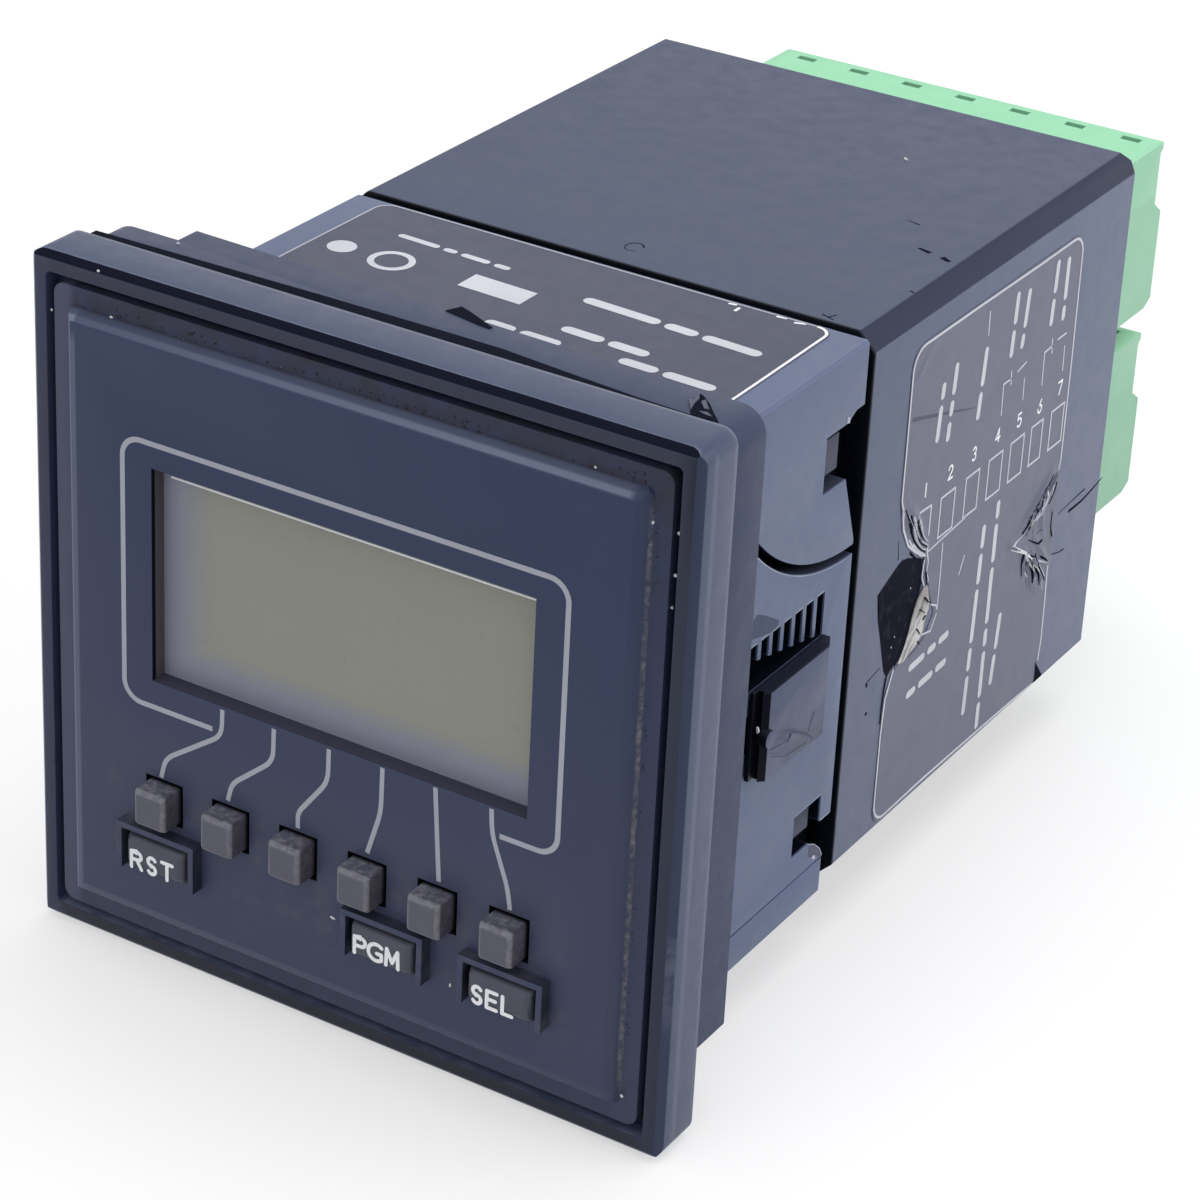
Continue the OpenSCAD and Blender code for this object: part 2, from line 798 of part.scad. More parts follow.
// Plug body with screw openings, wire openings, probe slots and pin holes
module plug(z) {
    screw_z = z + 0.25 * plug_h;
    wire_z = z - 0.22 * plug_h;
    probe = [1.7, 0.8, 1.2];
    color("#86cf9f")
        difference() {
            union() {
                translate([0, 0, z])
                    along_x(-plug_w / 2, plug_w / 2)
                        plug_profile();
                slab(nose_w, nose_h, housing_back - nose_len, housing_back + plug_clear + eps, 0, z);
            }
            for (x = pole_x) {
                translate([x, plug_back + eps, screw_z])
                    rotate([90, 0, 0])
                        cylinder(h = 0.8 * plug_len, d = screw_hole_d);
                slab(wire_hole, wire_hole, plug_back - 0.55 * plug_len, plug_back + eps, x, wire_z);
                slab(probe[0], 2 * probe[2], plug_back - 2.6, plug_back - 2.6 + probe[1], x,
                    z + plug_h / 2);
                slab(pin_t + 2 * plug_clear, pin_t + 2 * plug_clear, housing_back - nose_len - eps,
                    housing_back + plug_clear, x, z);
            }
        }
}

module upper_plug() {
    plug(upper_plug_z);
}

module lower_plug() {
    plug(lower_plug_z);
}

// Metal cage behind each wire opening
module wire_clamps() {
    cage = wire_hole - 2 * plug_clear;
    bore = cage - 0.8;
    y1 = plug_back - 0.2 * plug_len;
    y0 = plug_back - 0.55 * plug_len;
    color("#b9bcc2")
        for (z = [upper_plug_z, lower_plug_z], x = pole_x)
            difference() {
                slab(cage, cage, y0, y1, x, z - 0.22 * plug_h);
                slab(bore, bore, y0 + 1, y1 + eps, x, z - 0.22 * plug_h);
            }
}

// Slotted screws inside the screw openings
module terminal_screws() {
    head_d = screw_hole_d - 2 * plug_clear;
    y1 = plug_back - 0.12 * plug_len;
    slot_d = 0.9;
    color("#c2c5ca")
        for (z = [upper_plug_z, lower_plug_z], x = pole_x)
            translate([x, y1, z + 0.25 * plug_h])
                rotate([90, 0, 0])
                    difference() {
                        union() {
                            cylinder(h = 2, d = head_d);
                            cylinder(h = 0.68 * plug_len, d = 0.8 * head_d);
                        }
                        cube([head_d + eps, 0.6, 2 * slot_d], center = true);
                    }
}

bezel();
fascia();
display_glass();
backlight();
contact_strips();
display_board();
snap_domes();
board_screws();
digit_key(0);  // digit_key_1
digit_key(1);  // digit_key_2
digit_key(2);  // digit_key_3
digit_key(3);  // digit_key_4
digit_key(4);  // digit_key_5
digit_key(5);  // digit_key_6
legend_key(0);  // reset_key
legend_key(1);  // program_key
legend_key(2);  // select_key
panel_seal();
case();
latch_right();
latch_left();
rear_housing();
upper_board();
lower_board();
board_links();
transformer();
relays();
capacitor();
processor();
upper_header();
lower_header();
header_pins();
upper_plug();
lower_plug();
wire_clamps();
terminal_screws();
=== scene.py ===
"""Looks of the panel counter: materials, prints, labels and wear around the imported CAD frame.

Metres, in the frame of the CAD. Sizes below are written in millimetres and scaled by MM.
"""
import math
import random
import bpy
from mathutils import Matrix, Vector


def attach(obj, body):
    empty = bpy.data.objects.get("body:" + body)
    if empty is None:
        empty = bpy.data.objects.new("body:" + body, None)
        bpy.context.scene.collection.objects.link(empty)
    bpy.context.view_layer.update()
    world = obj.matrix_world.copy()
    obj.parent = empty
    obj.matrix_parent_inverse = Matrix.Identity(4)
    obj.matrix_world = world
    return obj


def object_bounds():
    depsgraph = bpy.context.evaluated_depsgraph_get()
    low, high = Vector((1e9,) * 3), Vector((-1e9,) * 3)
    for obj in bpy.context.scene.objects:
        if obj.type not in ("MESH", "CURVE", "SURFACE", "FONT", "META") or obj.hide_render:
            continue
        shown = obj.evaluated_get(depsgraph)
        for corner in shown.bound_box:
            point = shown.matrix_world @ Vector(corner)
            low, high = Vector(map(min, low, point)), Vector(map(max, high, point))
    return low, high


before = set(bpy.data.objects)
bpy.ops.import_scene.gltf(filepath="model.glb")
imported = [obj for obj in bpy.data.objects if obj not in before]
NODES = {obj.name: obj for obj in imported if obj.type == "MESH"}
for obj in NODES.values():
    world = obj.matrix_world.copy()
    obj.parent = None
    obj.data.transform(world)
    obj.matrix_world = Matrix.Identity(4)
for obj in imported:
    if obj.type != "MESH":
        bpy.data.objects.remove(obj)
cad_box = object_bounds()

from types import SimpleNamespace

import bmesh
import bpy
from mathutils import Matrix, Vector, noise

MM = 0.001
BODY = "counter"
X, Y, Z = range(3)


def reach_of(node, axis, end):
    """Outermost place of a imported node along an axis, in millimetres."""
    obj = NODES[node]
    return round(end((obj.matrix_world @ v.co)[axis] for v in obj.data.vertices) / MM, 2)


# Planes of the CAD frame, in millimetres
GUARD_HEIGHT = 1.1
PANEL_Y = round(reach_of("fascia", Y, min) + GUARD_HEIGHT, 2)
GLASS_Y = reach_of("display_glass", Y, min)
LEGEND_Y = reach_of("reset_key", Y, min)
SEAL_Z = reach_of("panel_seal", Z, max)
SIDE_X = reach_of("rear_housing", X, max)
TOP_Z = reach_of("rear_housing", Z, max)
CASE_BACK = reach_of("case", Y, max)
LATCH_X = reach_of("latch_right", X, max)
LATCH_TOP = reach_of("latch_right", Z, max)


# Shader helpers

class Nodes:
    """A node tree, with short calls for the sums that make masks and colours."""

    def __init__(self, tree):
        self.tree = tree

    def add(self, kind, **values):
        node = self.tree.nodes.new(kind)
        for key, value in values.items():
            setattr(node, key, value)
        return node

    def wire(self, value, socket):
        """Links a socket, or sets a plain value."""
        if isinstance(value, (int, float)):
            socket.default_value = value
        elif isinstance(value, tuple):
            socket.default_value = (*value, 1.0) if len(socket.default_value) == 4 else value
        else:
            self.tree.links.new(value, socket)

    def cloud(self, coords, scale, detail=3.0, rough=0.55):
        """Noise from 0 to 1."""
        node = self.add("ShaderNodeTexNoise")
        for key, v in (("Scale", scale), ("Detail", detail), ("Roughness", rough)):
            node.inputs[key].default_value = v
        self.wire(coords, node.inputs["Vector"])
        return node.outputs["Fac"]

    def ramp(self, value, a, b, c=0.0, d=1.0):
        """c where the value is a, d where it is b, and no more beyond."""
        node = self.add("ShaderNodeMapRange")
        for key, v in (("From Min", a), ("From Max", b), ("To Min", c), ("To Max", d)):
            node.inputs[key].default_value = v
        self.wire(value, node.inputs["Value"])
        return node.outputs["Result"]

    def band(self, value, a, b, c, d):
        """1 from b to c, falling to 0 at a and at d."""
        return self.times(self.ramp(value, a, b), self.ramp(value, d, c))

    def calc(self, op, *values):
        node = self.add("ShaderNodeMath", operation=op)
        for i, v in enumerate(values):
            self.wire(v, node.inputs[i])
        return node.outputs["Value"]

    def chain(self, op, values):
        out = values[0]
        for v in values[1:]:
            out = self.calc(op, out, v)
        return out

    def times(self, *values):
        return self.chain("MULTIPLY", values)

    def most(self, *values):
        return self.chain("MAXIMUM", values)

    def plus(self, *values):
        return self.chain("ADD", values)

    def less(self, a, b):
        return self.calc("SUBTRACT", a, b)

    def size(self, value):
        return self.calc("ABSOLUTE", value)

    def mix(self, fac, a, b):
        """Colour a where fac is 0, b where it is 1."""
        node = self.add("ShaderNodeMix", data_type="RGBA")
        for i, value in ((0, fac), (6, a), (7, b)):
            self.wire(value, node.inputs[i])
        return node.outputs[2]

    def split(self, vector):
        node = self.add("ShaderNodeSeparateXYZ")
        self.wire(vector, node.inputs["Vector"])
        return node.outputs["X"], node.outputs["Y"], node.outputs["Z"]

    def coords(self, kind="Object"):
        return self.add("ShaderNodeTexCoord").outputs[kind]

    def place(self, coords):
        """Object coordinates as three millimetre values."""
        scale = self.add("ShaderNodeVectorMath", operation="SCALE")
        scale.inputs["Scale"].default_value = 1 / MM
        self.wire(coords, scale.inputs[0])
        return self.split(scale.outputs["Vector"])

    def edges(self, radius):
        """1 along edges, 0 on flat faces, from the rounded normal."""
        bevel = self.add("ShaderNodeBevel", samples=4)
        bevel.inputs["Radius"].default_value = radius * MM
        dot = self.add("ShaderNodeVectorMath", operation="DOT_PRODUCT")
        self.wire(bevel.outputs["Normal"], dot.inputs[0])
        self.wire(self.add("ShaderNodeNewGeometry").outputs["Normal"], dot.inputs[1])
        return self.ramp(dot.outputs["Value"], 0.995, 0.85)


def new_material(name):
    mat = bpy.data.materials.new(name)
    mat.use_nodes = True
    return mat, Nodes(mat.node_tree), mat.node_tree.nodes["Principled BSDF"]


def shade(colour, k):
    return tuple(min(1.0, c * k) for c in colour)


def far(n, at):
    """Distance from the long axis, measured as a square."""
    return n.most(n.size(at.x), n.size(at.z))


def dim(n, mask, col, dark, spec, low):
    """Recolours where the mask is 1 and takes the shine off there."""
    return n.mix(mask, col, dark), n.ramp(mask, 0.0, 1.0, spec, low)


# Materials

COOL, NEUTRAL = (0.76, 0.86, 1.0), (1.0, 1.0, 1.0)
GRAIN_DEPTH = 0.05
# Share of the gloss that fronts keep, and other faces low down and high up
GLOSS_FRONT, GLOSS_LOW, GLOSS_HIGH = 0.5, 0.72, 0.86


def grain(n, bsdf, coords, scale, strength, scratch):
    """Moulded grain, with a few fine scratches where asked for."""
    height = n.cloud(coords, scale, 2.0)
    if scratch:
        turn = n.add("ShaderNodeMapping")
        turn.inputs["Scale"].default_value = (1.0, 0.05, 0.3)
        turn.inputs["Rotation"].default_value = (0.5, 0.2, 0.35)
        n.wire(coords, turn.inputs["Vector"])
        lines = n.cloud(turn.outputs["Vector"], 1500.0, 2.0)
        height = n.plus(height, n.ramp(lines, 0.67, 0.72, 0.0, scratch))
    node = n.add("ShaderNodeBump")
    node.inputs["Strength"].default_value = strength
    node.inputs["Distance"].default_value = GRAIN_DEPTH * MM
    n.wire(height, node.inputs["Height"])
    n.wire(node.outputs["Normal"], bsdf.inputs["Normal"])


def plastic(name, colour, rough=0.42, spec=0.5, var=0.05, grain_scale=2600.0, bump=0.10, scratch=0.0, edge=0.0,
            tint=COOL, masks=None):
    """Moulded plastic, rubber, ink or film. masks(n, colour, at) may recolour parts and set their gloss."""
    mat, n, bsdf = new_material(name)
    coords = n.coords()
    x, y, z = n.place(coords)
    slow, mid = n.cloud(coords, 90.0), n.cloud(coords, 600.0, 4.0)
    col = n.mix(n.ramp(slow, 0.3, 0.7), shade(colour, 1 - var), shade(colour, 1 + var))
    col = n.mix(n.ramp(mid, 0.45, 0.8, 0.0, 0.5), col, shade(colour, 1 + 2.0 * var))
    side, back, up = n.split(n.add("ShaderNodeNewGeometry").outputs["Normal"])
    at = SimpleNamespace(x=x, y=y, z=z, side=side, front=n.times(back, -1.0), up=up, coords=coords, mid=mid, spec=spec)
    gloss = spec
    if masks:
        col, gloss = masks(n, col, at)
    level, front = n.ramp(z, -20.0, 8.0, GLOSS_LOW, GLOSS_HIGH), n.ramp(at.front, 0.2, 0.9)
    gloss = n.times(gloss, n.plus(level, n.times(front, n.less(GLOSS_FRONT, level))))
    # Pale edges, partly wear and partly painted highlight
    if edge:
        pale_mask = n.times(n.edges(0.25), n.ramp(mid, 0.3, 0.7, 0.3 * edge, edge))
        col = n.mix(pale_mask, col, shade(colour, 3.0))
    n.wire(col, bsdf.inputs["Base Color"])
    n.wire(n.ramp(mid, 0.25, 0.75, rough - 0.05, rough + 0.07), bsdf.inputs["Roughness"])
    n.wire(gloss, bsdf.inputs["Specular IOR Level"])
    n.wire(tint, bsdf.inputs["Specular Tint"])
    grain(n, bsdf, coords, grain_scale, bump, scratch)
    return mat


def metal(name, colour, rough=0.3):
    mat, n, bsdf = new_material(name)
    fine = n.cloud(n.coords(), 1800.0)
    n.wire(n.mix(fine, shade(colour, 0.8), shade(colour, 1.15)), bsdf.inputs["Base Color"])
    n.wire(n.ramp(fine, 0.2, 0.8, rough - 0.1, rough + 0.15), bsdf.inputs["Roughness"])
    bsdf.inputs["Metallic"].default_value = 1.0
    return mat


def board(name):
    """Green circuit board with slightly paler tracks."""
    mat, n, bsdf = new_material(name)
    wave = n.add("ShaderNodeTexWave", wave_type="BANDS", bands_direction="X")
    wave.inputs["Scale"].default_value = 90.0
    wave.inputs["Distortion"].default_value = 6.0
    n.wire(n.coords(), wave.inputs["Vector"])
    tracks = n.ramp(wave.outputs["Fac"], 0.55, 0.6)
    n.wire(n.mix(tracks, (0.015, 0.10, 0.045), (0.03, 0.19, 0.08)), bsdf.inputs["Base Color"])
    n.wire(n.ramp(tracks, 0.0, 1.0, 0.38, 0.3), bsdf.inputs["Roughness"])
    return mat


# What each moulding shows besides its own colour. Places are in millimetres; side, front and up are
# the parts of the normal towards the right, the front and the top.

def bezel_masks(n, col, at):
    front = n.ramp(at.front, 0.85, 0.98)
    # The front face is painted darker towards the bottom and at the right, and paler at the left, as painted shade and
    # light
    face = n.mix(n.ramp(at.z, -8.0, -24.0), (0.031, 0.033, 0.056), (0.020, 0.019, 0.030))
    face = n.mix(n.ramp(at.x, 24.6, 25.2), face, (0.022, 0.025, 0.044))
    face = n.mix(n.ramp(at.x, -24.6, -25.2, 0.0, 0.8), face, (0.040, 0.042, 0.078))
    col = n.mix(front, col, face)
    # Painted highlight along the rear edge of the top face
    rear_highlight = n.times(n.ramp(at.y, -5.25, -5.1), n.ramp(at.up, 0.3, 0.6))
    col = n.mix(rear_highlight, col, (0.100, 0.115, 0.170))
    # Upper chamfer painted dark as shade, with a painted highlight line, broken up by noise, along its top edge
    chamfer = n.ramp(at.front, 0.35, 0.55)
    upper = n.times(chamfer, n.ramp(at.up, 0.35, 0.55))
    col, gloss = dim(n, upper, col, (0.005, 0.006, 0.015), at.spec, 0.08)
    line = n.times(n.band(at.front, 0.08, 0.2, 0.4, 0.5), n.ramp(at.up, 0.7, 0.85))
    line = n.times(line, n.ramp(at.mid, 0.35, 0.6, 0.35, 0.9))
    col = n.mix(line, col, (0.150, 0.165, 0.235))
    # Pale vertical lines on the right side, along its rear edge and in front of it: painted highlights, broken up by
    # noise
    side_highlight = n.most(n.band(at.y, -7.95, -7.6, -7.4, -7.1), n.band(at.y, -5.35, -5.15, -4.9, -4.7))
    side_highlight = n.times(side_highlight, n.ramp(at.side, 0.9, 0.98), n.ramp(at.mid, 0.3, 0.6, 0.25, 0.7))
    col = n.mix(side_highlight, col, (0.105, 0.118, 0.180))
    # Right chamfer painted dark as shade, scuffed low down, and the upper right corner of the front painted dark as
    # shade
    right = n.times(n.ramp(at.side, 0.35, 0.55), chamfer)
    col = n.mix(n.times(right, 0.6), col, (0.016, 0.019, 0.040))
    dent = n.times(right, n.band(at.z, -17.0, -13.0, -11.0, -7.0), n.ramp(at.mid, 0.42, 0.56, 0.0, 0.7))
    col = n.mix(dent, col, (0.090, 0.100, 0.145))
    corner = n.times(front, n.ramp(at.x, 25.4, 25.9), n.ramp(at.z, 18.0, 23.0, 0.0, 0.75))
    return n.mix(corner, col, (0.008, 0.009, 0.018)), gloss


def seal_masks(n, col, at):
    return col, n.ramp(n.size(at.side), 0.5, 0.9, at.spec, 0.30)


def housing_masks(n, col, at):
    # Painted shade and light by facing: the sloped edges dark, the tops darker towards the rear, the side walls paler,
    # more so towards the rear
    slope_shade = n.times(n.ramp(at.side, 0.45, 0.6), n.ramp(at.up, 0.45, 0.6))
    col = n.mix(slope_shade, col, (0.030, 0.034, 0.062))
    top = n.times(n.ramp(at.up, 0.85, 0.97), n.ramp(at.y, 28.0, 66.0))
    col = n.mix(top, col, (0.026, 0.035, 0.084))
    wall = n.mix(n.ramp(at.y, 22.0, 66.0), (0.086, 0.101, 0.167), (0.098, 0.116, 0.186))
    col = n.mix(n.ramp(n.size(at.side), 0.85, 0.97), col, wall)
    # Deep in the joint it is painted black as shade, and the tabs in the snap windows a dim grey
    joint_shade = n.ramp(at.y, 22.75, 22.55)
    tab = n.times(n.ramp(n.size(at.x), 21.2, 21.3), n.ramp(at.y, 21.6, 21.4))
    col = n.mix(n.times(joint_shade, n.less(1.0, tab)), col, (0.004, 0.005, 0.009))
    col = n.mix(n.times(joint_shade, tab), col, (0.060, 0.066, 0.098))
    return col, n.ramp(n.most(slope_shade, joint_shade), 0.0, 1.0, at.spec, 0.12)


def case_masks(n, col, at):
    """Painted shade inside, with painted light on the lower wall of the arc slot."""
    corner = n.plus(n.size(at.x), n.size(at.z))
    inside = n.times(n.ramp(far(n, at), 21.99, 21.93), n.ramp(corner, 42.5, 42.3))
    lit = n.times(n.ramp(at.up, 0.35, 0.6), n.band(at.z, 4.8, 5.2, 13.0, 13.4))
    dark = n.mix(lit, (0.004, 0.005, 0.010), (0.046, 0.053, 0.084))
    return dim(n, inside, col, dark, at.spec, 0.02)


def latch_masks(n, col, at):
    """Only the outer plate is pale, with dark scuffs; everything else is painted dark as shade, a little less where it
    faces up.
    """
    face = n.times(n.ramp(n.size(at.side), 0.85, 0.97), n.ramp(n.size(at.x), 23.2, 23.3))
    scuff = n.times(face, n.ramp(at.mid, 0.55, 0.8, 0.0, 0.25))
    col = n.mix(scuff, col, (0.018, 0.020, 0.035))
    dark = n.mix(n.ramp(at.up, 0.4, 0.8), (0.006, 0.006, 0.011), (0.015, 0.017, 0.030))
    return dim(n, n.less(1.0, face), col, dark, at.spec, 0.1)


def plug_masks(n, col, at):
    """Tops painted paler as light, a darker lower plug, and painted shade at the foot of each plug's side."""
    col = n.mix(n.ramp(at.z, 1.6, 1.2), col, (0.236, 0.470, 0.325))
    foot = n.most(n.ramp(at.z, -4.3, -4.45), n.band(at.z, 2.0, 2.2, 12.75, 12.9))
    foot = n.times(foot, n.ramp(n.size(at.side), 0.7, 0.9), 0.35)
    col = n.mix(foot, col, (0.190, 0.400, 0.270))
    return n.mix(n.ramp(at.up, 0.5, 0.9), col, (0.262, 0.615, 0.375)), at.spec


def key_masks(n, col, at):
    """Mottled walls, mottled tops painted paler as light, pale rims that are partly wear and partly painted highlight,
    and the foot painted dark as shade.
    """
    fine = n.cloud(at.coords, 2400.0)
    wall = n.mix(n.ramp(fine, 0.3, 0.7), (0.062, 0.058, 0.080), (0.112, 0.107, 0.132))
    col = n.mix(n.ramp(at.front, 0.6, 0.3), col, wall)
    top = n.mix(n.ramp(fine, 0.45, 0.75), (0.086, 0.085, 0.118), (0.20, 0.197, 0.228))
    col = n.mix(n.ramp(at.up, 0.6, 0.9), col, top)
    rim = n.times(n.band(at.front, 0.2, 0.4, 0.85, 0.97), n.ramp(fine, 0.3, 0.6, 0.3, 0.9))
    col = n.mix(rim, col, (0.205, 0.203, 0.230))
    return dim(n, n.ramp(at.y, -10.4, -9.95), col, (0.006, 0.006, 0.009), at.spec, 0.02)


def legend_masks(n, col, at):
    """Walls and foot painted dark as shade."""
    col = n.mix(n.ramp(at.front, 0.75, 0.3, 0.0, 0.75), col, (0.020, 0.020, 0.028))
    return dim(n, n.ramp(at.y, -10.5, -10.0), col, (0.005, 0.005, 0.009), at.spec, 0.02)


def paper_masks(n, col, at):
    """Crease lines painted darker as shade along the curl, and a greyer upper end."""
    strip = n.add("ShaderNodeCombineXYZ")
    n.wire(n.less(n.times(at.y, 2.2), n.times(at.z, 1.7)), strip.inputs["X"])
    n.wire(n.plus(n.times(at.y, 0.2), n.times(at.z, 0.26)), strip.inputs["Y"])
    crease = n.cloud(strip.outputs["Vector"], 1.0, 3.0, 0.6)
    col = n.mix(n.ramp(crease, 0.50, 0.64, 0.0, 0.75), col, (0.120, 0.112, 0.112))
    return n.mix(n.ramp(at.z, -4.6, -2.6, 0.0, 0.6), col, (0.160, 0.152, 0.150)), at.spec


def tear_masks(n, col, at):
    fine = n.cloud(at.coords, 900.0, 5.0, 0.65)
    return n.mix(n.ramp(fine, 0.52, 0.74, 0.0, 0.55), col, (0.040, 0.042, 0.064)), at.spec


def fascia_masks(n, col, at):
    x, y, z, reach = at.x, at.y, at.z, far(n, at)
    # Painted shade and light: darker towards the top, paler towards the bottom
    col = n.mix(n.ramp(z, 16.0, -18.0, 0.0, 0.8), col, (0.052, 0.057, 0.102))
    # Brown dust on the margin, most of it along the top, and a paler left margin
    margin = n.ramp(reach, 22.9, 23.3)
    dust = n.times(margin, n.ramp(z, 15.0, 23.0, 0.3, 1.0), n.ramp(at.mid, 0.3, 0.65, 0.3, 1.0))
    col = n.mix(dust, col, (0.030, 0.028, 0.043))
    col = n.mix(n.times(margin, n.ramp(x, -22.8, -23.4)), col, (0.067, 0.069, 0.120))
    # Walls of the guards painted dark as shade
    guard = n.times(n.ramp(y, -10.12, -10.2), n.ramp(z, -13.0, -14.0))
    col = n.mix(n.times(guard, n.ramp(at.front, 0.75, 0.4, 0.0, 0.85)), col, (0.014, 0.015, 0.026))
    # The edge of the raised panel catches the light at the left, along the top and a little below
    wide = n.times(n.ramp(y, -9.1, -9.3, 0.0, 0.25), n.ramp(y, -10.03, -9.95))
    thin = n.band(y, -10.05, -9.98, -9.75, -9.55)
    top = n.times(n.ramp(z, 22.0, 22.3), n.ramp(x, 22.35, 21.8), n.ramp(x, -22.0, 12.0, 0.3, 0.75))
    low = n.times(n.ramp(z, -22.0, -22.3), n.ramp(x, 20.0, -10.0), 0.5)
    lit = n.times(n.most(n.ramp(x, -22.0, -22.3), top, low), n.ramp(reach, 22.0, 22.3), n.most(wide, thin))
    col = n.mix(lit, col, (0.165, 0.190, 0.270))
    # Painted highlight beside that edge, at the left and below
    rise = n.ramp(y, -9.5, -9.7)
    left = n.times(rise, n.band(x, -22.6, -22.45, -22.1, -21.95), n.ramp(z, 22.0, 21.0), 0.6)
    below = n.times(rise, n.band(z, -22.6, -22.45, -22.1, -21.95), n.ramp(x, 22.0, -20.0, 0.1, 0.4))
    col = n.mix(n.most(left, below), col, (0.135, 0.152, 0.215))
    # Pale dust caught along the foot of the right edge
    fine = n.cloud(at.coords, 2200.0, 4.0, 0.7)
    foot = n.times(n.band(x, 23.02, 23.12, 23.22, 23.32), n.band(z, -22.3, -21.5, 21.0, 22.5))
    foot = n.times(foot, n.ramp(fine, 0.42, 0.60, 0.15, 0.9), n.ramp(at.mid, 0.35, 0.6, 0.35, 1.0))
    col = n.mix(foot, col, (0.215, 0.205, 0.215))
    # Paler band above the keys, and grime around them
    pale_mask = n.times(n.band(z, -16.0, -13.0, -9.0, -5.0), n.ramp(reach, 21.0, 18.0), 0.3)
    col = n.mix(pale_mask, col, (0.074, 0.077, 0.120))
    keys = n.times(n.band(z, -20.0, -18.5, -11.5, -9.5), n.ramp(reach, 20.5, 19.0))
    col = n.mix(n.times(keys, n.ramp(at.mid, 0.48, 0.72, 0.0, 0.55)), col, (0.085, 0.083, 0.108))
    # Holes painted dark as shade; the walls of the window with a pale strip, and the sill painted as lit
    hole_shade = n.times(n.ramp(y, -10.08, -10.02), n.ramp(reach, 22.0, 21.8))
    col, gloss = dim(n, hole_shade, col, (0.005, 0.005, 0.010), at.spec, 0.02)
    window = n.times(n.ramp(n.size(x), 15.75, 15.65), n.band(z, -3.2, -3.1, 13.8, 14.0))
    col = n.mix(n.times(window, n.ramp(y, -9.72, -9.66)), col, (0.100, 0.090, 0.104))
    sill = n.times(window, n.ramp(y, -10.06, -10.0), n.ramp(at.up, 0.5, 0.8))
    return n.mix(sill, col, (0.056, 0.058, 0.086)), gloss


def display_masks(n, col, at):
    """Bluish fade at the left, the right and below."""
    left, right = n.ramp(at.x, -14.4, -11.2, 1.0, 0.0), n.ramp(at.x, 14.6, 15.6, 0.0, 0.45)
    fade = n.most(left, right, n.ramp(at.z, -1.6, 0.4, 1.0, 0.0))
    fade = n.times(fade, n.ramp(at.mid, 0.2, 0.8, 0.8, 1.05))
    return n.mix(fade, col, (0.218, 0.224, 0.296)), at.spec


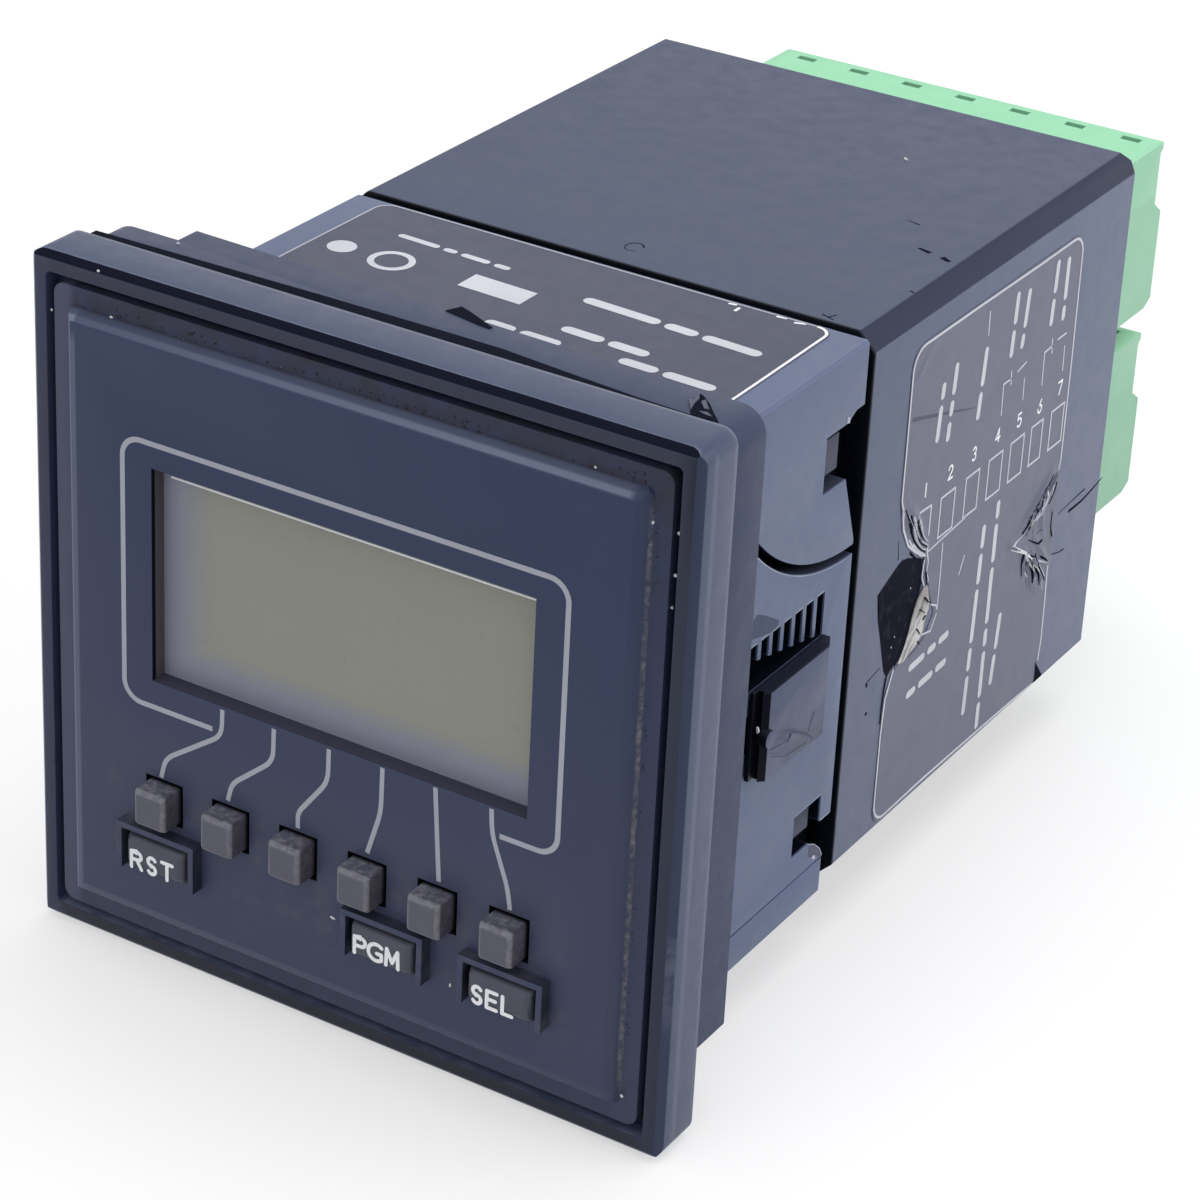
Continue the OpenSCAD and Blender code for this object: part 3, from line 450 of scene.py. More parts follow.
M = {
    "bezel": plastic("bezel_plastic", (0.037, 0.048, 0.102), 0.40, 0.5, 0.04, scratch=0.3, edge=0.1, masks=bezel_masks),
    "fascia": plastic("fascia_plastic", (0.033, 0.042, 0.090), 0.44, 0.4, 0.03, 3200.0, masks=fascia_masks),
    "display": plastic("display_glass", (0.262, 0.268, 0.235), 0.30, 0.3, 0.02, 2200.0, 0.02, tint=NEUTRAL,
                       masks=display_masks),
    "seal": plastic("seal_rubber", (0.024, 0.032, 0.077), 0.46, 0.5, 0.05, bump=0.2, masks=seal_masks),
    "case": plastic("case_plastic", (0.087, 0.111, 0.195), 0.44, 0.5, 0.03, scratch=0.3, edge=0.2, masks=case_masks),
    "housing": plastic("housing_plastic", (0.046, 0.056, 0.102), 0.42, 0.5, 0.04, scratch=0.3, masks=housing_masks),
    "latch": plastic("latch_plastic", (0.040, 0.050, 0.106), 0.40, 0.5, 0.05, scratch=0.5, masks=latch_masks),
    "key": plastic("key_rubber", (0.108, 0.107, 0.138), 0.62, 0.3, 0.12, 3600.0, 0.25, masks=key_masks),
    "legend_key": plastic("legend_rubber", (0.078, 0.077, 0.104), 0.5, 0.4, 0.05, bump=0.2, masks=legend_masks),
    "plug": plastic("plug_plastic", (0.246, 0.512, 0.342), 0.42, 0.45, 0.03, tint=NEUTRAL, edge=0.1, masks=plug_masks),
    "header": plastic("header_plastic", (0.180, 0.420, 0.260), 0.45, 0.45, 0.04, tint=NEUTRAL),
    "black": plastic("black_plastic", (0.018, 0.018, 0.021), 0.5, 0.4),
    "sleeve": plastic("capacitor_sleeve", (0.025, 0.035, 0.075), 0.3, 0.5),
    "core": plastic("transformer_core", (0.14, 0.12, 0.10), 0.45, 0.5, 0.15, tint=NEUTRAL),
    "strip": plastic("strip_rubber", (0.42, 0.33, 0.30), 0.6, 0.3, tint=NEUTRAL),
    "light": plastic("light_panel", (0.74, 0.75, 0.69), 0.4, 0.5, 0.03, tint=NEUTRAL),
    "steel": metal("steel", (0.55, 0.56, 0.58), 0.3),
    "brass": metal("pin_brass", (0.72, 0.58, 0.28), 0.28),
    "board": board("board_green"),
    "print": plastic("print_ink", (0.36, 0.37, 0.43), 0.55, 0.3, 0.05),
    "white": plastic("white_ink", (0.80, 0.81, 0.85), 0.55, 0.3, 0.04),
    "grey_ink": plastic("grey_ink", (0.52, 0.53, 0.58), 0.5, 0.3, 0.08),
    "label": plastic("label_film", (0.092, 0.096, 0.150), 0.36, 0.5, 0.05, scratch=0.3),
    "top_label": plastic("top_label_film", (0.041, 0.044, 0.080), 0.40, 0.5, 0.05, scratch=0.3),
    "paper": plastic("label_paper", (0.50, 0.495, 0.49), 0.75, 0.2, 0.20, 900.0, 0.4, tint=NEUTRAL, masks=paper_masks),
    # Dark marks; also painted shade: the band along the top of the display, the gap behind the rim and the shadow along
    # the torn strip
    "dark_marks_and_shade": plastic("dark_scuff_and_shade", (0.007, 0.008, 0.015), 0.9, 0.03, 0.2),
    "scuff": plastic("scuff_pale", (0.40, 0.42, 0.50), 0.6, 0.3, 0.15),
    # Pale lines painted as highlights along edges
    "edge": plastic("pale_edge_highlight", (0.26, 0.29, 0.38), 0.6, 0.3, 0.30, 1500.0),
    "tear": plastic("bare_patch", (0.007, 0.007, 0.014), 0.85, 0.05, 0.4, 1500.0, 0.4, masks=tear_masks),
    "smudge": plastic("smudge", (0.046, 0.060, 0.105), 0.6, 0.3, 0.12),
    "grit": plastic("grit", (0.040, 0.034, 0.036), 0.8, 0.1, 0.3),
    # Smears; on the label they also stand in as painted shade among the wrinkles
    "smear_and_shade": plastic("label_smear_and_shade", (0.066, 0.068, 0.104), 0.55, 0.35, 0.25, 1500.0),
    "dust": plastic("dust_flake", (0.62, 0.62, 0.64), 0.85, 0.1, 0.08),
}

# Material of each CAD node, and the radius of its soft edges
PAINT = {
    "bezel": "bezel", "fascia": "fascia", "display_glass": "display", "backlight": "light", "contact_strips": "strip",
    "display_board": "board", "snap_domes": "steel", "board_screws": "steel", "panel_seal": "seal", "case": "case",
    "latch_right": "latch", "latch_left": "latch", "rear_housing": "housing", "upper_board": "board",
    "lower_board": "board", "board_links": "black", "transformer": "core", "relays": "black", "capacitor": "sleeve",
    "processor": "black", "upper_header": "header", "lower_header": "header", "header_pins": "brass",
    "upper_plug": "plug", "lower_plug": "plug", "wire_clamps": "steel", "terminal_screws": "steel",
    "reset_key": "legend_key", "program_key": "legend_key", "select_key": "legend_key",
}
ROUND = {
    "bezel": 0.25, "panel_seal": 0.5, "case": 0.10, "rear_housing": 0.25, "upper_plug": 0.2, "lower_plug": 0.2,
    "latch_right": 0.12, "latch_left": 0.12, "reset_key": 0.35, "program_key": 0.35, "select_key": 0.35,
    "fascia": 0.10,
}
for i in range(1, 7):
    PAINT["digit_key_%d" % i] = "key"
    ROUND["digit_key_%d" % i] = 0.18
WELD_GAP = 1e-6
FLAT_ANGLE, SHARP_ANGLE = math.radians(0.5), math.radians(32)

smoother = bpy.data.node_groups.new("shade_smooth", "GeometryNodeTree")
for way in ("INPUT", "OUTPUT"):
    smoother.interface.new_socket("Geometry", in_out=way, socket_type="NodeSocketGeometry")
n = Nodes(smoother)
source, sink, shading = n.add("NodeGroupInput"), n.add("NodeGroupOutput"), n.add("GeometryNodeSetShadeSmooth")
n.wire(source.outputs[0], shading.inputs[0])
n.wire(shading.outputs[0], sink.inputs[0])

for name, obj in NODES.items():
    obj.data.materials.clear()
    obj.data.materials.append(M[PAINT[name]])
    if name in ROUND:
        weld = obj.modifiers.new("weld", "WELD")
        weld.merge_threshold = WELD_GAP
        flat = obj.modifiers.new("flat_faces", "DECIMATE")
        flat.decimate_type = "DISSOLVE"
        flat.angle_limit = FLAT_ANGLE
        obj.modifiers.new("smooth", "NODES").node_group = smoother
        soft = obj.modifiers.new("soft_edges", "BEVEL")
        soft.width = ROUND[name] * MM
        soft.segments = 3
        soft.limit_method = "ANGLE"
        soft.angle_limit = SHARP_ANGLE
        soft.harden_normals = True


# Mesh helpers: each plane maps (u, v, height above the surface) to the frame, in millimetres

def on_front(level):
    return lambda u, v, h: Vector((u, level - h, v)) * MM


def on_right(level):
    return lambda u, v, h: Vector((level + h, u, v)) * MM


def on_top(level):
    return lambda u, v, h: Vector((u, v, level + h)) * MM


# Heights over the surface, in millimetres: how far marks reach into it, and how far scuffs and prints stand out
SUNK, SCUFF = -0.004, 0.012
INK, TOP_FILM, TOP_INK = 0.022, 0.028, 0.05
# The side label's film, and where the prints on it start
LABEL_FILM, ON_LABEL = 0.04, 0.035
# Each stroke of a letter stands this much higher than the last one, so that crossings stay clean
STROKE_RISE = 0.001
# Limits to the lengthening of mitred corners
RIBBON_MITRE, STROKE_MITRE = 0.35, 0.6


def finish_mesh(name, bm, mat, body=BODY, smooth=False):
    bmesh.ops.recalc_face_normals(bm, faces=bm.faces[:])
    mesh = bpy.data.meshes.new(name)
    bm.to_mesh(mesh)
    bm.free()
    for poly in mesh.polygons:
        poly.use_smooth = smooth
    mesh.materials.append(M[mat])
    obj = bpy.data.objects.new(name, mesh)
    bpy.context.collection.objects.link(obj)
    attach(obj, body)
    return obj


def prism(bm, place, outline, h0, h1):
    """Closed plate with the given outline between two heights."""
    low = [bm.verts.new(place(u, v, h0)) for u, v in outline]
    high = [bm.verts.new(place(u, v, h1)) for u, v in outline]
    caps = [bm.faces.new(high), bm.faces.new(low[::-1])]
    for i in range(len(outline)):
        j = (i + 1) % len(outline)
        bm.faces.new((low[i], low[j], high[j], high[i]))
    bmesh.ops.triangulate(bm, faces=caps)


def skin(bm, place, pairs, h0, h1, closed=False):
    """Closed strip between pairs of left and right points."""
    rings = [[bm.verts.new(place(p.x, p.y, h)) for p, h in ((q, h0), (q, h1), (r, h1), (r, h0))] for q, r in pairs]
    for a, b in zip(rings, rings[1:] + rings[:closed]):
        for j in range(4):
            bm.faces.new((a[j], a[(j + 1) % 4], b[(j + 1) % 4], b[j]))
    if not closed:
        bm.faces.new(rings[0])
        bm.faces.new(rings[-1][::-1])


def ribbon(bm, place, pts, width, h0, h1, closed=False, ends=None):
    """Closed strip along a polyline, with mitred corners. ends scales the width at both ends."""
    n = len(pts)
    pairs = []
    for i in range(n):
        p = Vector(pts[i])
        a = Vector(pts[i - 1]) if i or closed else None
        b = Vector(pts[(i + 1) % n]) if i < n - 1 or closed else None
        d0 = (p - a).normalized() if a is not None else (b - p).normalized()
        d1 = (b - p).normalized() if b is not None else d0
        t = d0 + d1
        t = t.normalized() if t.length > 1e-6 else d0
        side = Vector((-t.y, t.x))
        k = max(RIBBON_MITRE, side.dot(Vector((-d1.y, d1.x))))
        w = width if ends is None else width * (ends[0] + (ends[1] - ends[0]) * i / (n - 1))
        pairs.append((p + side * (w / 2 / k), p - side * (w / 2 / k)))
    skin(bm, place, pairs, h0, h1, closed)


def arc(cx, cy, r, a0, a1, n=8):
    turns = [math.radians(a0 + (a1 - a0) * i / n) for i in range(n + 1)]
    return [(cx + r * math.cos(t), cy + r * math.sin(t)) for t in turns]


def smooth_path(pts, radius=0.9, n=5):
    """Polyline with its corners rounded."""
    out = [pts[0]]
    for i in range(1, len(pts) - 1):
        a, p, b = Vector(pts[i - 1]), Vector(pts[i]), Vector(pts[i + 1])
        da, db = (a - p), (b - p)
        k = min(radius, da.length * 0.45, db.length * 0.45)
        s, e = p + da.normalized() * k, p + db.normalized() * k
        for j in range(n + 1):
            t = j / n
            q = s * (1 - t) ** 2 + p * 2 * t * (1 - t) + e * t ** 2
            out.append((q.x, q.y))
    out.append(pts[-1])
    return out


def stroke(bm, place, pts, width, h0, h1):
    """Pen stroke with round ends, as one closed strip."""
    r = width / 2
    pts = [Vector(p) for p in pts]
    out, back = (pts[-1] - pts[-2]).normalized(), (pts[0] - pts[1]).normalized()
    caps = [(0.97, 0.26), (0.8, 0.6), (0.45, 0.9)]
    line = [(pts[0] + back * (r * d), w) for d, w in caps] + [(p, 1.0) for p in pts]
    line += [(pts[-1] + out * (r * d), w) for d, w in reversed(caps)]
    pairs = []
    for i, (p, w) in enumerate(line):
        d0 = (p - line[i - 1][0]).normalized() if i else -back
        d1 = (line[i + 1][0] - p).normalized() if i < len(line) - 1 else out
        t = (d0 + d1).normalized()
        side = Vector((-t.y, t.x))
        off = side * (r * w / max(STROKE_MITRE, side.dot(Vector((-d1.y, d1.x)))))
        pairs.append((p + off, p - off))
    skin(bm, place, pairs, h0, h1)


# Plain single-stroke letters on a unit cell, 0.7 wide and 1 tall
GLYPHS = {
    "R": [[(0, 0), (0, 1)], [(0, 1), (0.42, 1)] + arc(0.42, 0.76, 0.24, 90, -90, 8) + [(0, 0.52)],
          [(0.36, 0.52), (0.68, 0)]],
    "S": [arc(0.35, 0.75, 0.25, 30, 270, 10) + arc(0.35, 0.25, 0.25, 90, -150, 10)],
    "T": [[(0, 1), (0.7, 1)], [(0.35, 1), (0.35, 0)]],
    "P": [[(0, 0), (0, 1)], [(0, 1), (0.42, 1)] + arc(0.42, 0.74, 0.26, 90, -90, 8) + [(0, 0.48)]],
    "G": [arc(0.38, 0.5, 0.5, 48, 312, 14) + [(0.71, 0.45)], [(0.71, 0.45), (0.42, 0.45)]],
    "M": [[(0, 0), (0.04, 1)], [(0.04, 1), (0.38, 0.25)], [(0.38, 0.25), (0.72, 1)], [(0.72, 1), (0.76, 0)]],
    "E": [[(0, 1), (0, 0)], [(0, 1), (0.6, 1)], [(0, 0), (0.6, 0)], [(0, 0.52), (0.52, 0.52)]],
    "L": [[(0, 1), (0, 0)], [(0, 0), (0.58, 0)]],
    "1": [[(0.36, 1), (0.36, 0)]],
    "2": [arc(0.34, 0.70, 0.30, 165, -30, 10) + [(0.06, 0.04)], [(0.04, 0), (0.68, 0)]],
    "3": [arc(0.32, 0.75, 0.25, 150, -90, 10), arc(0.32, 0.26, 0.26, 90, -150, 10)],
    "4": [[(0.5, 0), (0.5, 1)], [(0.5, 1), (0.02, 0.3)], [(0.02, 0.3), (0.7, 0.3)]],
    "5": [[(0.6, 1), (0.1, 1)], [(0.1, 1), (0.08, 0.55)], arc(0.33, 0.32, 0.32, 125, -145, 10)],
    "6": [[(0.52, 1), (0.12, 0.5)] + arc(0.35, 0.30, 0.30, 150, -210, 14)],
    "7": [[(0.02, 1), (0.68, 1)], [(0.68, 1), (0.26, 0)]],
}


def lettering(bm, text, place, u0, v0, cap, pitch, width, thick=0.02):
    """Letters of one stroke width along +u, standing on v0."""
    for i, ch in enumerate(text):
        for path in GLYPHS[ch]:
            pts = [(u0 + pitch * i + a * cap, v0 + b * cap) for a, b in path]
            thick += STROKE_RISE
            stroke(bm, place, pts, width, SUNK, thick)


# Prints on the fascia and the keys

front = on_front(PANEL_Y)
bm = bmesh.new()
ribbon(bm, front, [(-10.3, -5.1)] + arc(-16.5, -3.6, 1.5, 270, 180) + arc(-16.5, 13.8, 1.5, 180, 90)
       + arc(16.5, 13.8, 1.5, 90, 0) + arc(16.5, -3.6, 1.5, 0, -90) + [(13.5, -5.1)], 0.40, -0.005, 0.02)
for path in (
    [(-9.45, -3.3), (-9.5, -5.4), (-14.4, -8.9), (-14.8, -10.6)],
    [(-5.05, -3.3), (-5.1, -5.9), (-8.6, -8.9), (-8.95, -10.4)],
    [(-0.43, -3.3), (-0.47, -5.9), (-2.95, -9.2), (-2.93, -10.45)], [(4.0, -3.2), (3.95, -6.7), (2.9, -10.3)],
    [(8.3, -3.2), (8.55, -6.8), (8.8, -10.4)], [(12.8, -3.25), (12.9, -5.1), (14.3, -8.9), (14.55, -10.5)],
):
    ribbon(bm, front, smooth_path(path), 0.36, -0.005, 0.024)
finish_mesh("fascia_print", bm, "print")

for key, text, x0, z0, pitch in (
    ("reset_key", "RST", -16.54, -17.95, 1.36), ("program_key", "PGM", 2.87, -17.70, 1.32),
    ("select_key", "SEL", 12.52, -17.88, 1.26),
):
    bm = bmesh.new()
    lettering(bm, text, on_front(LEGEND_Y), x0, z0, 1.32, pitch, 0.29)
    finish_mesh("legend_" + key, bm, "white", key)

# Bright line and shadow band along the top of the display, seen under the edge of the window
glass = on_front(GLASS_Y)
bm = bmesh.new()
ribbon(bm, glass, [(-14.9, 12.45), (15.3, 12.45)], 0.13, SUNK, 0.02)
finish_mesh("display_line", bm, "white")
bm = bmesh.new()
ribbon(bm, glass, [(-15.3, 12.80), (15.3, 12.80)], 0.42, SUNK, 0.015)
finish_mesh("display_band", bm, "dark_marks_and_shade")


# Label on the right side of the rear housing

right = on_right(SIDE_X)


def fold(a, b, width, height):
    """Ridge between two points."""
    a, b = Vector(a), Vector(b)
    line = b - a

    def lift(u, v):
        p = Vector((u, v))
        t = max(0.0, min(1.0, (p - a).dot(line) / line.length_squared))
        d = (p - a - line * t).length / width
        return height * max(0.0, math.sin(math.pi * (0.08 + 0.84 * t))) * math.exp(-d * d)
    return lift


def film(name, place, outline, step, mat, lift, wrinkles=()):
    """Thin film cut to an outline, draped over its wrinkles."""
    us, vs = [p[0] for p in outline], [p[1] for p in outline]
    bm = bmesh.new()
    bm.faces.new([bm.verts.new((u, v, 0.0)) for u, v in outline])
    for across, values in ((Vector((1, 0, 0)), us), (Vector((0, 1, 0)), vs)):
        cut = min(values) + step
        while cut < max(values):
            everything = bm.verts[:] + bm.edges[:] + bm.faces[:]
            bmesh.ops.bisect_plane(bm, geom=everything, plane_co=across * cut, plane_no=across)
            cut += step
    bmesh.ops.triangulate(bm, faces=[f for f in bm.faces if len(f.verts) > 4])
    grown = bmesh.ops.extrude_face_region(bm, geom=bm.faces[:])
    upper = {g for g in grown["geom"] if isinstance(g, bmesh.types.BMVert)}
    for vert in bm.verts:
        u, v = vert.co.x, vert.co.y
        h = lift + sum(w(u, v) for w in wrinkles)
        vert.co = place(u, v, h if vert in upper else h - lift)
    return finish_mesh(name, bm, mat, smooth=bool(wrinkles))


LABEL_EDGE = (
    [(28.6, 6.9), (29.2, 4.3), (30.3, 2.5), (31.7, 1.2), (33.5, 0.1), (33.8, -0.6), (34.3, -2.0), (35.1, -3.8),
     (35.9, -5.3), (34.6, -6.9), (32.6, -7.5), (30.2, -7.4), (29.0, -8.9), (28.6, -10.6), (28.5, -18.7)]
    + arc(30.2, -18.9, 1.75, 180, 270, 5)
    + [(36.5, -20.4), (43.3, -20.5), (50.4, -20.6), (55.3, -20.7), (56.6, -20.3), (57.0, -19.2), (57.1, -6.0),
       (57.0, 5.0), (57.0, 13.8)]
    + arc(55.2, 17.0, 1.75, 0, 90, 5) + [(49.0, 18.8), (39.0, 18.8)] + arc(30.3, 17.1, 1.75, 90, 180, 5)
)
WRINKLES = [fold(*row) for row in (
    ((28.9, 6.2), (33.2, 0.8), 0.20, 0.26), ((29.7, 6.4), (33.5, 0.9), 0.16, 0.20),
    ((30.7, 5.6), (33.6, 1.2), 0.18, 0.22), ((31.6, 4.6), (33.9, 0.8), 0.16, 0.16),
    ((50.2, -4.4), (55.8, -1.2), 0.26, 0.24), ((50.8, -4.9), (56.4, -2.4), 0.20, 0.18),
    ((48.3, -4.9), (52.0, -6.8), 0.22, 0.28), ((51.3, -6.2), (52.0, -9.2), 0.20, 0.20),
    ((51.8, -6.4), (54.2, -10.8), 0.22, 0.26), ((52.4, -6.4), (55.6, -11.2), 0.20, 0.24),
    ((53.2, -6.2), (56.6, -9.8), 0.22, 0.24), ((53.4, -2.8), (55.2, -6.8), 0.2, 0.14),
    ((32.2, 18.5), (28.9, 15.6), 0.12, 0.10),
)]
film("side_label", right, LABEL_EDGE, 0.30, "label", LABEL_FILM, WRINKLES)


def over(u, v, h):
    return on_right(SIDE_X + ON_LABEL)(u, v, h + sum(w(u, v) for w in WRINKLES))


def fine(pts, step=0.5):
    """Adds points along a polyline so that it can follow the wrinkles."""
    out = [pts[0]]
    for a, b in zip(pts, pts[1:]):
        n = max(1, round((Vector(b) - Vector(a)).length / step))
        out += [tuple(Vector(a).lerp(Vector(b), i / n)) for i in range(1, n + 1)]
    return out


bm = bmesh.new()
for path in (
    [(33.6, 0.4), (31.9, 1.4), (30.5, 2.5), (29.5, 4.2), (28.8, 6.9), (28.8, 11.7)]
    + arc(30.5, 16.9, 1.72, 180, 90, 6) + [(39.0, 18.6), (49.0, 18.5)]
    + arc(55.1, 16.9, 1.62, 90, 0, 6) + [(56.9, 7.0), (56.9, -0.8), (56.7, -1.6)],
    [(56.6, -10.0), (56.8, -13.2), (56.9, -16.9), (56.7, -18.7)],
    [(56.0, -20.6), (50.4, -20.4), (43.3, -20.3), (36.5, -20.2)]
    + arc(30.4, -18.6, 1.7, 270, 180, 6) + [(28.7, -12.6), (28.9, -9.7), (29.9, -7.5)],
):
    ribbon(bm, over, fine(path), 0.20, 0.0, INK)
for i, (a, b) in enumerate(((31.9, 33.8), (35.4, 37.7), (39.5, 41.7), (43.3, 45.6), (47.0, 49.3), (50.6, 52.6),
                            (54.1, 56.4))):
    if i:
        ribbon(bm, over, [(a, 1.1), (b, 1.1), (b, 4.4), (a, 4.4)], 0.17, 0.0, INK, closed=True)
    else:
        ribbon(bm, over, fine([(b, 2.0), (b, 4.5), (a, 4.6)]), 0.17, 0.0, INK)
for path in (
    [(44.6, 7.7), (44.5, 10.3), (45.8, 10.3)], [(45.7, 11.0), (45.8, 9.8)], [(48.3, 7.6), (48.2, 9.5)],
    [(46.8, 10.5), (48.3, 10.8)], [(51.6, 7.6), (51.5, 10.4), (52.9, 10.5)], [(52.7, 11.2), (52.9, 9.8)],
    [(55.3, 7.5), (55.2, 9.7)], [(53.7, 10.7), (55.3, 10.7)], [(33.8, 0.6), (37.0, 0.8), (40.0, 1.0)],
    [(36.4, 0.3), (36.5, -2.6), (36.5, -5.6)], [(35.3, -4.4), (36.3, -4.9), (36.5, -5.6), (35.7, -6.8), (34.2, -6.5)],
    [(40.5, -2.4), (39.8, -3.8)],
):
    ribbon(bm, over, path, 0.15, 0.0, INK)
finish_mesh("side_label_lines", bm, "grey_ink")
bm = bmesh.new()
for i, (u, v) in enumerate(((32.6, 6.2), (36.6, 6.1), (40.5, 6.1), (44.4, 6.1), (48.1, 6.0), (51.7, 5.8),
                            (55.2, 6.1))):
    lettering(bm, str(i + 1), over, u - 0.37, v - 0.53, 1.06, 1.0, 0.17)
finish_mesh("terminal_digits", bm, "white")


def words(bm, place, a, b, lengths, height=0.62, gap=0.45, h1=INK):
    """Plain bars with round ends in place of lettering, scaled to fill a line."""
    a, b = Vector(a), Vector(b)
    total = sum(lengths) + gap * (len(lengths) - 1)
    at = 0.0
    for w in lengths:
        s, e = a.lerp(b, at / total), a.lerp(b, (at + w) / total)
        d = (e - s).normalized() * (height / 2)
        stroke(bm, place, [tuple(s + d), tuple(e - d)], height, SUNK, h1)
        at += w + gap


bm = bmesh.new()
for a, b, lengths in (
    ((33.7, 9.6), (34.1, 14.3), [3.0, 1.4]), ((35.5, 9.0), (36.0, 15.2), [1.6, 1.3, 2.6]),
    ((40.4, 8.9), (40.9, 14.7), [2.2, 3.1]), ((45.3, 12.2), (45.6, 17.5), [2.2, 2.6]),
    ((47.1, 12.3), (47.6, 17.1), [1.2, 3.1]), ((52.1, 12.4), (52.4, 17.8), [2.2, 2.7]),
    ((54.3, 12.1), (54.3, 17.4), [1.2, 3.4]), ((43.1, -17.5), (43.6, -1.1), [3.4, 2.0, 4.6, 2.6, 2.0]),
    ((45.9, -20.0), (45.8, 0.1), [2.4, 4.2, 1.6, 5.0, 3.4, 1.6]), ((47.7, -16.9), (48.3, -10.7), [2.6, 3.1]),
    ((32.5, -8.7), (39.0, -8.4), [2.6, 1.4, 1.7]), ((32.5, -11.0), (39.0, -10.8), [1.5, 2.4, 1.8]),
):
    words(bm, over, a, b, lengths)
ribbon(bm, over, [(40.9, 15.6), (40.8, 17.6)], 0.16, 0.0, INK)
finish_mesh("side_label_bars", bm, "grey_ink")

# The tear: bare dark patch, curled strip of backing paper, pale and dark streaks in the creases
bm = bmesh.new()
prism(bm, right, [
    (29.8, 1.6), (30.7, 1.4), (32.9, 0.5), (33.3, -0.3), (33.5, -1.8), (33.0, -2.9), (32.3, -4.1), (31.9, -5.3),
    (31.4, -6.3), (30.6, -7.1), (29.5, -7.4), (28.9, -7.8), (28.3, -7.0), (27.6, -4.9), (27.0, -3.1), (26.6, -2.0),
    (26.6, -1.0), (26.2, 0.2), (27.1, 0.6), (28.3, 1.1), (29.3, 1.5),
], -0.01, 0.012)
finish_mesh("bare_patch", bm, "tear")
bm = bmesh.new()
LEFT = fine(smooth_path([(33.7, -2.2), (33.2, -2.6), (32.6, -3.2), (32.2, -4.2), (31.8, -5.4), (31.2, -6.5),
                         (30.4, -7.3)], 0.5, 3), 0.25)
RIGHT = fine(smooth_path([(34.4, -2.4), (34.9, -3.8), (35.0, -4.5), (34.4, -5.3), (34.3, -6.3), (33.3, -7.0),
                          (31.3, -7.5)], 0.5, 3), 0.25)
CURL_ROWS, CURL_COLUMNS = 30, 8
CURL_FOOT, CURL_RISE, CURL_SHEET, CURL_MARKS = 0.05, 0.34, 0.05, 0.40
lower, upper = [], []
for k in range(CURL_ROWS + 1):
    a = Vector(LEFT[round(k / CURL_ROWS * (len(LEFT) - 1))])
    b = Vector(RIGHT[round(k / CURL_ROWS * (len(RIGHT) - 1))])
    rise = CURL_RISE * math.sin(math.pi * (0.06 + 0.88 * k / CURL_ROWS))
    low_row, high_row = [], []
    for j in range(CURL_COLUMNS + 1):
        p = a.lerp(b, j / CURL_COLUMNS)
        crumple = 0.8 + 0.5 * noise.noise(Vector((p.x * 1.7, p.y * 1.7, 0.4)))
        h = CURL_FOOT + rise * math.sin(math.pi * j / CURL_COLUMNS) ** 0.8 * crumple
        low_row.append(bm.verts.new(right(p.x, p.y, h)))
        high_row.append(bm.verts.new(right(p.x, p.y, h + CURL_SHEET)))
    lower.append(low_row)
    upper.append(high_row)
for rows in (lower, upper):
    for a, b in zip(rows, rows[1:]):
        for j in range(CURL_COLUMNS):
            bm.faces.new((a[j], a[j + 1], b[j + 1], b[j]))
for a, b in ((lower[0], upper[0]), (lower[-1], upper[-1]), ([r[0] for r in lower], [r[0] for r in upper]),
             ([r[-1] for r in lower], [r[-1] for r in upper])):
    for j in range(len(a) - 1):
        bm.faces.new((a[j], a[j + 1], b[j + 1], b[j]))
finish_mesh("torn_curl", bm, "paper", smooth=True)

bm = bmesh.new()
for path in ([(32.9, -3.7), (33.7, -4.3)], [(33.5, -4.8), (33.9, -4.6)], [(33.0, -6.4), (33.3, -6.8)],
             [(33.6, -3.0), (34.3, -3.7)], [(32.6, -5.2), (33.2, -5.9)]):
    ribbon(bm, on_right(SIDE_X + CURL_MARKS), path, 0.09, -0.2, 0.03, ends=(1.0, 0.4))
finish_mesh("curl_marks", bm, "grit")
bm = bmesh.new()
ribbon(bm, right, smooth_path([(33.1, -0.3), (33.2, -1.6), (32.8, -2.8), (32.2, -3.6), (31.9, -4.5), (31.4, -5.5),
                               (30.7, -6.5), (30.0, -7.2)], 0.5, 3), 0.6, 0.0, 0.02, ends=(0.6, 0.8))
finish_mesh("tear_shadow", bm, "dark_marks_and_shade")

